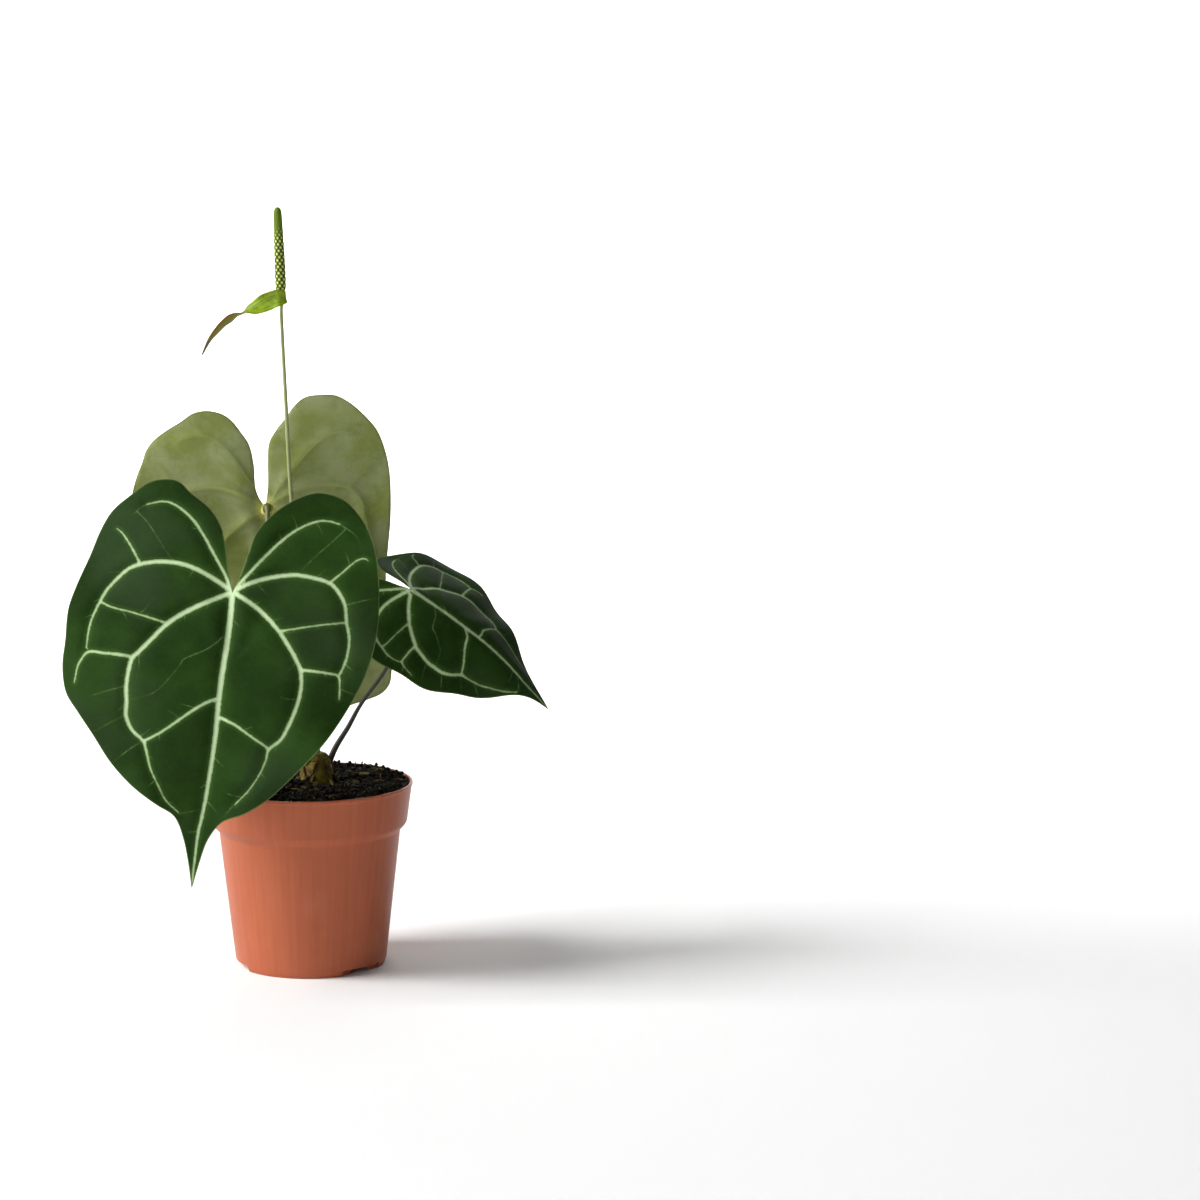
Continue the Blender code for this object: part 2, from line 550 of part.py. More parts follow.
def make_spathe(collection, material):
    """The spathe: a strap along its spine, with its own width, twist and cupping at each spine point."""
    rows = smooth_line(np.column_stack([SPATHE_SPINE, SPATHE_WIDTHS, SPATHE_TWISTS, SPATHE_CUPS]), 4)
    last = len(rows) - 1
    mesh = bpy.data.meshes.new("spathe")
    work = bmesh.new()
    bmesh.ops.create_grid(work, x_segments=SPATHE_COLUMNS, y_segments=last, size=1)
    for vertex in work.verts:
        side = vertex.co.x
        row = round((vertex.co.y + 1) / 2 * last)
        here = Vector(rows[row][:3])
        run = (Vector(rows[min(row + 1, last)][:3]) - Vector(rows[max(row - 1, 0)][:3])).normalized()
        level = run.cross(Vector((0, 0, 1))).normalized()
        over = level.cross(run).normalized()
        width, twist, cup = rows[row][3:]
        turn = math.radians(twist)
        across = level * math.cos(turn) + over * math.sin(turn)
        raised = over * math.cos(turn) - level * math.sin(turn)
        vertex.co = (here + across * side * width / 2 + raised * cup * side**2) * MM
    bmesh.ops.triangulate(work, faces=work.faces)
    bmesh.ops.recalc_face_normals(work, faces=work.faces)
    work.to_mesh(mesh)
    work.free()
    spathe = bpy.data.objects.new("spathe", mesh)
    collection.objects.link(spathe)
    thick = spathe.modifiers.new("Thickness", "SOLIDIFY")
    thick.thickness = SPATHE_THICKNESS
    thick.offset = 0
    finish(spathe, material)
    return spathe


def axes_of(along, face_tilt, turn_over=False):
    """Blade axes from the tip's direction, in degrees from straight down, and the tilt about it.

    Both are as seen from the front. A blade that is turned over shows its underside to the front.
    """
    turn = math.radians(along)
    up = SIDE * math.sin(turn) + UP * math.cos(turn)
    if turn_over:
        across = -(SIDE * math.cos(turn) - UP * math.sin(turn))
    else:
        across = SIDE * math.cos(turn) - UP * math.sin(turn)
    face = across.cross(up)
    tilt = Matrix.Rotation(math.radians(face_tilt), 3, up)
    return tilt @ across, up, tilt @ face


def blades():
    """The three blades: each one's joint, axes, outline and form."""
    front = Blade("leaf_front", (-37.1, -62, 227.3), axes_of(0, 0), (FRONT_LEFT, FRONT_RIGHT), 6.2,
                  slope=0.24, droop=0.2, lobe_curl=0.42, fold=0.1, roll=0.17, ripple=2.2, waves=9,
                  phase=0.6, groove=1.3)
    back = Blade("leaf_back", (-26.2, 30, 263.4), axes_of(0, 0, True), (BACK_LEFT, BACK_RIGHT), 6.6,
                 mirrored=True, slope=0.42, droop=0.2, lobe_curl=0.1, fold=0.12, roll=0.06, ripple=2.4,
                 waves=8, phase=1.4, groove=1.1)
    side = Blade("leaf_side", (60, -9, 220.2), axes_of(-55, 44), (SIDE_LEFT, SIDE_RIGHT), 5.2,
                 slope=0.12, droop=0.3, lobe_curl=0.5, fold=-0.4, roll=0.05, ripple=1.5, waves=8, phase=2.2,
                 groove=0.9)
    return front, back, side


def stalk_end(blade):
    """Where a stalk ends under its blade's joint, in millimetres, and the way into the blade."""
    here, right, above = (blade.place(np.array([p]))[0] for p in ((0.0, -4.0), (3.0, -5.0), (0.0, -7.0)))
    normal = (right - here).cross(here - above).normalized()
    if normal.dot(blade.face) < 0:
        normal = -normal
    return (here - normal * (BLADE_THICKNESS + STALK_GAP)) / MM, normal


def stalk_lines(front, back, side):
    """Each stalk's whole route and its radii, in millimetres."""
    lines = {}
    for name, blade, bends in (
        ("stalk_front", front, FRONT_STALK),
        ("stalk_back", back, BACK_STALK),
        ("stalk_side", side, SIDE_STALK),
    ):
        end, inwards = stalk_end(blade)
        route = [*bends, tuple(end - inwards * 7), tuple(end)]
        middle = [STALK_RADIUS] * (len(route) - 5)
        radii = [FOOT_RADIUS, FOOT_RADIUS * 0.85, NECK_RADIUS, *middle, KNOB_RADIUS, END_RADIUS]
        lines[name] = (route, radii)
    lead = (SPIKE_TOP - SPIKE_FOOT).normalized()
    node = [tuple(SPIKE_FOOT - lead * below) for below in (7, 3.4, 0.4)]
    lines["flower_stalk"] = ([*FLOWER_STALK, *node], FLOWER_STALK_RADII)
    return lines


def main():
    """Builds every piece of the plant and its pot into one collection."""
    for obj in list(bpy.data.objects):
        bpy.data.objects.remove(obj)
    plant = bpy.data.collections.new("anthurium_clarinervium")
    cutters = bpy.data.collections.new("cutters")
    for collection in (plant, cutters):
        bpy.context.scene.collection.children.link(collection)
    terracotta = make_material("terracotta_plastic", (0.46, 0.15, 0.075), 0.42)
    earth = make_material("potting_mix", (0.022, 0.016, 0.011), 0.95)
    bark = make_material("stem_bark", (0.11, 0.07, 0.03), 0.8)
    stalk_green = make_material("stalk_green", (0.07, 0.085, 0.05), 0.55)
    velvet = make_material("blade_velvet", (0.018, 0.05, 0.014), 0.6)
    pale = make_material("blade_underside", (0.16, 0.2, 0.07), 0.6)
    spathe_green = make_material("spathe_green", (0.25, 0.37, 0.03), 0.5)
    spadix_green = make_material("spadix_green", (0.14, 0.22, 0.03), 0.6)

    make_pot(plant, cutters, terracotta)
    soil = make_soil(plant, earth)
    make_stem_hole(cutters, soil)
    front, back, side = blades()
    for blade, material in ((front, velvet), (back, pale), (side, velvet)):
        make_blade(plant, blade, material)
    stalks = stalk_lines(front, back, side)
    for name, (route, radii) in stalks.items():
        tube(plant, name, route, radii, stalk_green)
    make_stem(plant, cutters, stalks, bark)
    make_spadix(plant, spadix_green)
    make_spathe(plant, spathe_green)
    bpy.context.view_layer.update()


main()
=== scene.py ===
"""Looks of a potted anthurium clarinervium: pot, mix, stem, stalks, three leaves and a flower spike."""
import json
import logging
import math
from dataclasses import dataclass
from enum import Enum
from typing import Sequence

import bpy
import numpy as np
from mathutils import Matrix, Vector, geometry, noise

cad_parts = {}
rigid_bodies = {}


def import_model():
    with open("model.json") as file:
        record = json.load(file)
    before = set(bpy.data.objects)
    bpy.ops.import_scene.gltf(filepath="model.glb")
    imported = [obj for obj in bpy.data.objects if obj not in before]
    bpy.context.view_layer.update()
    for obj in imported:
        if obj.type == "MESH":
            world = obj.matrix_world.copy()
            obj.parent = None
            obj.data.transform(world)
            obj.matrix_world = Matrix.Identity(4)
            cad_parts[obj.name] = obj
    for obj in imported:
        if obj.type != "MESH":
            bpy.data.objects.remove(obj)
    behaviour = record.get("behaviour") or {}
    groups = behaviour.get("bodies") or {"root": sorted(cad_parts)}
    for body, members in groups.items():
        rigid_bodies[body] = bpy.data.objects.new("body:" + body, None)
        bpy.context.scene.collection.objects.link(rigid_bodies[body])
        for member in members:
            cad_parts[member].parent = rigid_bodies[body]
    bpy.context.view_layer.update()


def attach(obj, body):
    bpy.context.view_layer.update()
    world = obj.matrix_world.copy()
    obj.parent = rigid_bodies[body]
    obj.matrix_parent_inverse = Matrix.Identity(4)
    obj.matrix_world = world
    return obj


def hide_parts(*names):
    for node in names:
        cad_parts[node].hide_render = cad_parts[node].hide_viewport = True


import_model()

MM = 0.001
STRAP_WELD = 0.001
ROUND_ANGLE = 60
FAR = 1e3
LOG = logging.getLogger("anthurium")
Colour = tuple[float, float, float, float]
Point = tuple[float, float]
Ring = tuple[float, float, float, float]
Socket = bpy.types.NodeSocket
Piece = bpy.types.Object

LOOK_DOWN = math.radians(8.65)
SIDE = Vector((1, 0, 0))
UP = Vector((0, math.sin(LOOK_DOWN), math.cos(LOOK_DOWN)))

# Outlines, in millimetres from the stalk joint: from the notch down one side to the drip tip.
FRONT_LEFT = [(0, 0), (-2.8, 11), (-4.8, 25.5), (-8.2, 37.5), (-15, 47.5), (-25.5, 56), (-32.5, 62.5),
              (-41, 63.9), (-50, 61.8), (-58.8, 55.3), (-69.6, 46), (-76.2, 34.4), (-81.6, 19.4),
              (-87.7, 4.2), (-92.4, -10), (-94, -27), (-95.3, -41), (-92.7, -55.5), (-85.6, -66.5),
              (-77.6, -78.5), (-67.5, -94.5), (-55, -107.6), (-41.2, -118.2), (-31.4, -125),
              (-26.7, -137), (-24, -151), (-22.3, -165.5)]
FRONT_RIGHT = [(0, 0), (5, 11), (9, 23), (13.5, 34.5), (24.3, 46), (38.5, 54.3), (49.5, 55.9), (62, 51.2),
               (72.2, 39.7), (79, 25), (81.6, 7.5), (81.8, -11), (80, -28.6), (74.6, -47.4),
               (63.6, -67.8), (51, -86), (35.3, -102.4), (21.2, -115.5), (8, -123.6), (-4.7, -128.3),
               (-12.8, -138), (-17.5, -150), (-22.3, -165.5)]
BACK_LEFT = [(0, 0), (-2, 12), (-2.4, 24.5), (-3.4, 36.2), (-7.9, 44), (-13.6, 50.8), (-19.4, 58.2),
             (-25.9, 62.7), (-33.8, 63.8), (-42.8, 63.6), (-50.7, 59.7), (-58.2, 53.3), (-65.8, 44.4),
             (-70.1, 33.3), (-72.4, 21.5), (-73.1, 6), (-72.4, -10), (-70.3, -27), (-69, -42),
             (-69.9, -60), (-71.4, -78), (-71.9, -92), (-70.9, -102.5), (-66, -109), (-57.1, -113),
             (-49.2, -115.5), (-42.8, -118.5), (-36, -122.5), (-30, -129), (-27, -139)]
BACK_RIGHT = [(0, 0), (3.4, 5), (5.5, 11.8), (5.9, 24.5), (8, 35.5), (12, 42), (17.3, 49.1), (23.1, 53.1),
              (31.3, 54.8), (39.6, 53.3), (47.4, 48.4), (55.1, 44.2), (63.3, 38.5), (68.3, 32.4),
              (70.9, 25.5), (74.2, 17.7), (77.6, 6), (79.7, -10), (78.3, -28), (73.2, -46), (64.6, -63),
              (52.4, -79), (37.2, -93), (20.1, -104.5), (3, -112), (-8, -116.5), (-17, -121.5),
              (-23, -129), (-27, -139)]
SIDE_LEFT = [(0, 0), (-1.6, 8), (-3, 18), (-7.5, 26.5), (-15, 32), (-24, 32.5), (-32, 27), (-38, 18),
             (-41.5, 7), (-43.3, -5), (-44, -18), (-42, -33), (-37, -48), (-29, -61), (-20, -72),
             (-11.5, -81), (-6, -88), (-2, -95), (2, -104)]
SIDE_RIGHT = [(0, 0), (1.4, 8), (2.7, 18), (5.5, 23), (12.5, 26.5), (20.5, 26.5), (29, 22.5), (38, 16),
              (46.5, 9), (52, -2), (53.5, -15), (51, -29.5), (42, -45), (34, -57), (25, -68), (16.5, -77),
              (10, -85), (5.5, -93), (2, -104)]

# Veins of the front blade. Each has its full widths in millimetres, at shares along it, and its line.
MIDRIB = [(0, 0), (-1.1, -14), (-2.6, -29), (-4.9, -44), (-6.8, -60), (-8.6, -80), (-11.6, -101),
          (-15, -120), (-18.3, -134), (-20.4, -149), (-22.3, -165)]
MIDRIB_WIDTHS = ((0, 3.3), (0.35, 3.0), (0.6, 2.3), (1, 0.7))
MAIN_VEINS = [
    (((0, 1.6), (0.5, 1.4), (1, 0.6)),
     [(0, 0), (-5, 10.5), (-10.5, 20), (-16.5, 30.5), (-22.8, 39.7), (-29.3, 46), (-35.5, 49.9),
      (-41.6, 51.2), (-50, 49.5)]),
    (((0, 2.6), (0.45, 2.2), (0.72, 1.5), (1, 0.5)),
     [(0, 0), (-10, 6.9), (-19.6, 12.4), (-28, 15.5), (-35, 16.8), (-44, 17), (-52.6, 15.6), (-59, 13),
      (-65.2, 7.5), (-70.7, 1.3), (-74.5, -5.5), (-78.5, -14), (-80.6, -22), (-81.7, -31)]),
    (((0, 2.7), (0.6, 2.2), (0.72, 1.7), (0.8, 0.9), (1, 0.4)),
     [(0, 0), (-10.2, -4), (-19.6, -8), (-28, -12.2), (-36.3, -17.8), (-44.8, -26.2), (-52, -33.5),
      (-55.8, -37.5), (-57.8, -46), (-58.6, -54), (-58.2, -62), (-58.5, -69), (-55, -77), (-48.7, -83.2),
      (-46.5, -91), (-44.3, -99), (-40, -108), (-36, -116), (-29, -123)]),
    (((0, 1.8), (0.5, 1.4), (1, 0.6)),
     [(0, 0), (8.6, 9.9), (16.5, 18.5), (24.3, 26.4), (31, 32.2), (38.5, 36.8), (46.3, 39.7), (52.6, 39.9),
      (59, 38.2)]),
    (((0, 2.5), (0.5, 2.1), (0.8, 1.5), (1, 1.0)),
     [(0, 0), (8.6, 4.4), (18.1, 7.4), (27.5, 9), (34.8, 9.5), (43.5, 8.2), (54.2, 4.9), (59.7, -1),
      (63, -8.2), (63.8, -17), (65.4, -25.5), (64.6, -35), (62, -43), (59.7, -47.2)]),
    (((0, 2.5), (0.6, 2.0), (0.72, 1.6), (0.8, 0.9), (1, 0.4)),
     [(0, 0), (10.5, -6.5), (19, -13.8), (25.9, -21.5), (31, -29), (35.3, -36.4), (38.5, -43.8), (39, -53),
      (37, -62.5), (33.2, -72.6), (28, -82.3), (21.2, -87.8), (19.6, -94), (15.7, -102.4), (10.2, -110.4),
      (2.4, -118.5)]),
]
LINK_VEINS = [
    (((0, 1.9), (0.5, 1.4), (1, 1.2)),
     [(-7.1, -59.2), (-14.9, -62.3), (-22.8, -67.1), (-30.6, -72.6), (-40, -78.8), (-48.7, -83.2)]),
    (((0, 1.7), (0.5, 1.2), (1, 1.2)),
     [(-5.5, -70.2), (2.4, -74.1), (10.2, -79.6), (18.1, -85.1), (21.2, -87.5)]),
    (((0, 1.7), (0.4, 1.3), (0.7, 1.0), (1, 0.4)),
     [(-55.8, -36.1), (-65.2, -34.6), (-71.5, -34.1), (-80.1, -33.3), (-84, -37.2), (-86.4, -41.9),
      (-87.9, -50.6)]),
    (((0, 1.2), (0.4, 0.8), (1, 0.3)), [(-52.6, 16.2), (-57.3, 24.8), (-62.8, 32.7), (-66.4, 35.8)]),
    (((0, 1.6), (0.5, 1.2), (0.7, 0.9), (1, 0.4)),
     [(38.5, -43.5), (46.3, -44.3), (54.2, -45.5), (59.7, -47.1), (60.5, -53.7), (60.2, -60)]),
    (((0, 0.9), (0.5, 0.6), (1, 1.0)), [(62.8, -17.3), (51, -18.4), (40, -19.9), (27.8, -21.8)]),
    (((0, 0.9), (0.5, 0.6), (1, 1.1)),
     [(-74.6, -5), (-68.3, -8.2), (-57.3, -11), (-47.9, -13.7), (-37.2, -17.1)]),
    (((0, 1.1), (0.5, 0.7), (1, 0.4)), [(55, 5.7), (62, 11.5), (68.3, 17), (73, 18.8), (75.4, 17.7)]),
]
FINE_VEINS = [
    [(-55, 45.2), (-48.7, 38.9), (-41.6, 28.7), (-34.1, 17.7)],
    [(-50, 49.5), (-53.4, 47.6), (-58, 43)],
    [(-29.1, -123.6), (-22.8, -122.5), (-16, -120.9)],
    [(-59.7, -52.6), (-69.9, -55.3), (-79.6, -58.4)],
    [(-58.9, -68.6), (-66.7, -72.6), (-77, -78.1)],
    [(-49.5, -83.2), (-57.3, -88.3), (-65.2, -94.5)],
    [(-3.1, -23.9), (-13.3, -31.7), (-25.9, -37.2), (-28.3, -40.4), (-33.8, -47.4), (-41.6, -55.3),
     (-49.5, -58.4), (-56.5, -60)],
    [(59, 38.2), (67.5, 32.4), (71, 27)],
    [(62.8, 35.8), (55.8, 28.7), (46.3, 20.1), (36.1, 9.9)],
    [(63.6, -7.4), (73, -5), (81, -3.5)],
    [(2.4, -118.1), (-3.9, -125.2)],
]

FRONT_STALK = [(1.7, -2.2, 113), (-5, -8, 132), (-15, -22, 166), (-28, -40, 203)]
BACK_STALK = [(2.2, 4.6, 113), (-3.8, 6, 136), (-13, 6.5, 180), (-24, 9, 228)]
SIDE_STALK = [(8.5, 2.3, 109), (14.3, 3, 124.6), (22.5, 5, 138), (30.4, 7, 151.9), (44.8, 5, 172.1),
              (54.6, 1, 194)]
FLOWER_STALK = [(6.4, -2.9, 114), (4, -3.2, 140), (-1.6, -4, 200), (-8, -6, 273.8), (-10.4, -8.6, 332.4),
                (-12, -9.8, 375.5)]
SPATHE_SPINE = [(-9.35, -10.1, 388.4), (-9.5, -12.7, 388.7), (-12.7, -14.1, 388.4), (-16.6, -14.2, 387.2),
                (-20.8, -14.5, 385.3), (-25, -15, 383), (-29.4, -15.5, 381.2), (-34.1, -16, 379.4),
                (-38.3, -17, 377.7), (-42.8, -18, 375), (-47, -19, 370.9), (-51.8, -20, 365.2),
                (-56.3, -21, 356.6)]


def srgb(red: float, green: float, blue: float) -> Colour:
    """Turns a screen colour from 0 to 255 into a linear one.

    Args:
        red: Red share.
        green: Green share.
        blue: Blue share.

    Returns:
        The linear colour with full alpha.
    """
    shares = [value / 255 for value in (red, green, blue)]
    return (*(c / 12.92 if c <= 0.04045 else ((c + 0.055) / 1.055) ** 2.4 for c in shares), 1.0)


def smooth_line(points: Sequence, pieces: int = 6) -> np.ndarray:
    """Draws a Catmull-Rom line through the points.

    Args:
        points: The points, each of any number of values.
        pieces: Steps between each two points.

    Returns:
        The rows of the line, its ends kept.
    """
    p = np.array(points, float)
    p = np.vstack([2 * p[0] - p[1], p, 2 * p[-1] - p[-2]])
    t = np.linspace(0, 1, pieces, endpoint=False)[:, None]
    runs = [
        0.5 * (2 * b + (c - a) * t + (2 * a - 5 * b + 4 * c - d) * t**2 + (3 * b - a - 3 * c + d) * t**3)
        for a, b, c, d in zip(p, p[1:], p[2:], p[3:])
    ]
    return np.vstack([*runs, p[-2:-1]])


def spaced(line: np.ndarray, step: float) -> np.ndarray:
    """Cuts a line into even steps.

    Args:
        line: Rows of points.
        step: The longest step.

    Returns:
        The points, ends kept.
    """
    length = np.concatenate([[0], np.cumsum(np.linalg.norm(np.diff(line, axis=0), axis=1))])
    where = np.linspace(0, length[-1], max(2, math.ceil(length[-1] / step) + 1))
    return np.column_stack([np.interp(where, length, line[:, axis]) for axis in range(line.shape[1])])


def to_line(points: np.ndarray, line: np.ndarray) -> tuple[np.ndarray, np.ndarray]:
    """Measures points against a line.

    Args:
        points: Flat points.
        line: Rows of the line.

    Returns:
        Each point's distance to the line, and how far along it the nearest place is, from 0 to 1.
    """
    start, step = line[:-1], np.diff(line, axis=0)
    square = np.maximum((step**2).sum(1), 1e-9)
    along = np.clip(((points[:, None] - start) * step).sum(2) / square, 0, 1)
    gaps = np.linalg.norm(points[:, None] - (start + along[..., None] * step), axis=2)
    nearest = gaps.argmin(1)
    rows = np.arange(len(points))
    return gaps[rows, nearest], (nearest + along[rows, nearest]) / len(step)


def bearing(points: np.ndarray) -> np.ndarray:
    """Each point's direction from the stalk joint, as an angle from straight down."""
    return np.arctan2(points[..., 0], -points[..., 1])


def reach(edge: np.ndarray, angles: np.ndarray) -> np.ndarray:
    """How far an outline lies from the stalk joint in each direction."""
    edge = edge[np.hypot(*edge.T) > 1]
    order = np.argsort(bearing(edge))
    return np.interp(angles, bearing(edge)[order], np.hypot(*edge.T)[order])


def inside(points: np.ndarray, edge: np.ndarray) -> np.ndarray:
    """Whether each point lies within the closed outline."""
    x, y = points[:, 0][:, None], points[:, 1][:, None]
    x0, y0 = edge.T
    x1, y1 = np.roll(edge, -1, axis=0).T
    crosses = (y0 > y) != (y1 > y)
    at = x0 + (y - y0) * (x1 - x0) / np.where(y1 == y0, 1e-9, y1 - y0)
    return (crosses & (x < at)).sum(1) % 2 == 1


def deselect() -> None:
    """Leaves edit mode and deselects every object."""
    if bpy.context.object and bpy.context.object.mode != "OBJECT":
        bpy.ops.object.mode_set(mode="OBJECT")
    for obj in bpy.context.scene.objects:
        obj.select_set(False)


def only(obj: Piece) -> Piece:
    """Selects this object alone and makes it active."""
    deselect()
    bpy.context.view_layer.objects.active = obj
    obj.select_set(True)
    return obj


def mesh_object(name: str, places: np.ndarray, faces: Sequence) -> Piece:
    """Makes an object from places in metres and faces.

    Args:
        name: Its name.
        places: Rows of x, y and z.
        faces: Rows of corner numbers.

    Returns:
        The object, linked to the scene.
    """
    mesh = bpy.data.meshes.new(name)
    mesh.from_pydata([tuple(row) for row in places], [], [tuple(face) for face in faces])
    mesh.validate()
    obj = bpy.data.objects.new(name, mesh)
    bpy.context.scene.collection.objects.link(obj)
    return obj


def places_of(obj: Piece) -> np.ndarray:
    """The object's mesh places as rows."""
    rows = np.empty(len(obj.data.vertices) * 3)
    obj.data.vertices.foreach_get("co", rows)
    return rows.reshape(-1, 3)


def put_places(obj: Piece, rows: np.ndarray) -> None:
    """Writes mesh places back to the object."""
    obj.data.vertices.foreach_set("co", np.asarray(rows, float).ravel())
    obj.data.update()


def mark(obj: Piece, name: str, values: np.ndarray) -> None:
    """Stores one number per mesh point, for the materials to read."""
    layer = obj.data.attributes.new(name, "FLOAT", "POINT")
    layer.data.foreach_set("value", np.asarray(values, float).ravel())


def weld(obj: Piece, reach_mm: float = 0.01) -> None:
    """Merges doubled points and points every face outwards."""
    only(obj)
    bpy.ops.object.mode_set(mode="EDIT")
    bpy.ops.mesh.select_all(action="SELECT")
    bpy.ops.mesh.remove_doubles(threshold=reach_mm * MM)
    bpy.ops.mesh.normals_make_consistent(inside=False)
    bpy.ops.object.mode_set(mode="OBJECT")


def smooth(obj: Piece, degrees: float) -> None:
    """Shades the object smooth up to an angle."""
    only(obj)
    bpy.ops.object.shade_smooth_by_angle(angle=math.radians(degrees))


def settle(obj: Piece) -> None:
    """Applies the object's place to its mesh, so that it sits at the origin."""
    only(obj)
    bpy.ops.object.transform_apply(location=True, rotation=True, scale=True)


def drawn_rings(name: str, rings: Sequence[Ring], steps: int) -> Piece:
    """Draws a closed form from a circle that is extruded from ring to ring, as by hand.

    Args:
        name: Its name.
        rings: Middle x and y, radius and height of each ring, in metres. A last ring of no radius closes it.
        steps: Points on each ring.

    Returns:
        The object at the origin.
    """
    x, y, radius, z = rings[0]
    deselect()
    bpy.ops.mesh.primitive_circle_add(vertices=steps, radius=radius, location=(x, y, z))
    obj = bpy.context.object
    obj.name = name
    settle(obj)
    bpy.ops.object.mode_set(mode="EDIT")
    bpy.ops.mesh.select_all(action="SELECT")
    for (x0, y0, r0, z0), (x1, y1, r1, z1) in zip(rings, rings[1:]):
        bpy.ops.mesh.extrude_edges_move(TRANSFORM_OT_translate={"value": (x1 - x0, y1 - y0, z1 - z0)})
        share = r1 / r0
        bpy.ops.transform.resize(value=(share, share, 1), center_override=(x1, y1, z1))
    bpy.ops.object.mode_set(mode="OBJECT")
    return obj


def tube(name: str, route: np.ndarray, radii: np.ndarray, sides: int = 16) -> Piece:
    """Bends a round rod along a route.

    Args:
        name: Its name.
        route: Rows of places in metres.
        radii: The radius at each row, in metres.
        sides: Points round the rod, a multiple of four.

    Returns:
        The rod as a mesh with its share along the route stored as "along".
    """
    deselect()
    bpy.ops.curve.primitive_nurbs_path_add()
    obj = bpy.context.object
    obj.name = name
    curve = obj.data
    curve.splines.clear()
    curve.dimensions = "3D"
    curve.bevel_depth = MM
    curve.bevel_resolution = sides // 4
    curve.use_fill_caps = True
    spline = curve.splines.new("POLY")
    spline.points.add(len(route) - 1)
    for point, place, radius in zip(spline.points, route, radii):
        point.co = (*place, 1)
        point.radius = radius / MM
    only(obj)
    bpy.ops.object.convert(target="MESH")
    obj = bpy.context.object
    settle(obj)
    weld(obj)
    gaps = np.linalg.norm(places_of(obj)[:, None] - route[None], axis=2)
    mark(obj, "along", gaps.argmin(1) / (len(route) - 1))
    return obj


def grid(name: str, columns: int, rows: int) -> Piece:
    """A flat grid from -1 to 1 each way, to be bent into a strap."""
    deselect()
    bpy.ops.mesh.primitive_grid_add(x_subdivisions=columns, y_subdivisions=rows, size=2)
    obj = bpy.context.object
    obj.name = name
    return obj


def thicken(obj: Piece, thickness: float) -> None:
    """Gives a strap its thickness, half to each side, then closes and smooths it."""
    thick = obj.modifiers.new("thickness", "SOLIDIFY")
    thick.thickness = thickness
    thick.offset = 0
    only(obj)
    bpy.ops.object.modifier_apply(modifier=thick.name)
    weld(obj, STRAP_WELD)
    smooth(obj, ROUND_ANGLE)


def grained(place: Sequence, *layers: Point) -> float:
    """Layers of noise at a place.

    Args:
        place: The place in metres.
        layers: The share and the grain in millimetres of each layer.

    Returns:
        Their sum.
    """
    return sum(share * noise.noise(Vector(place) / (size * MM)) for share, size in layers)


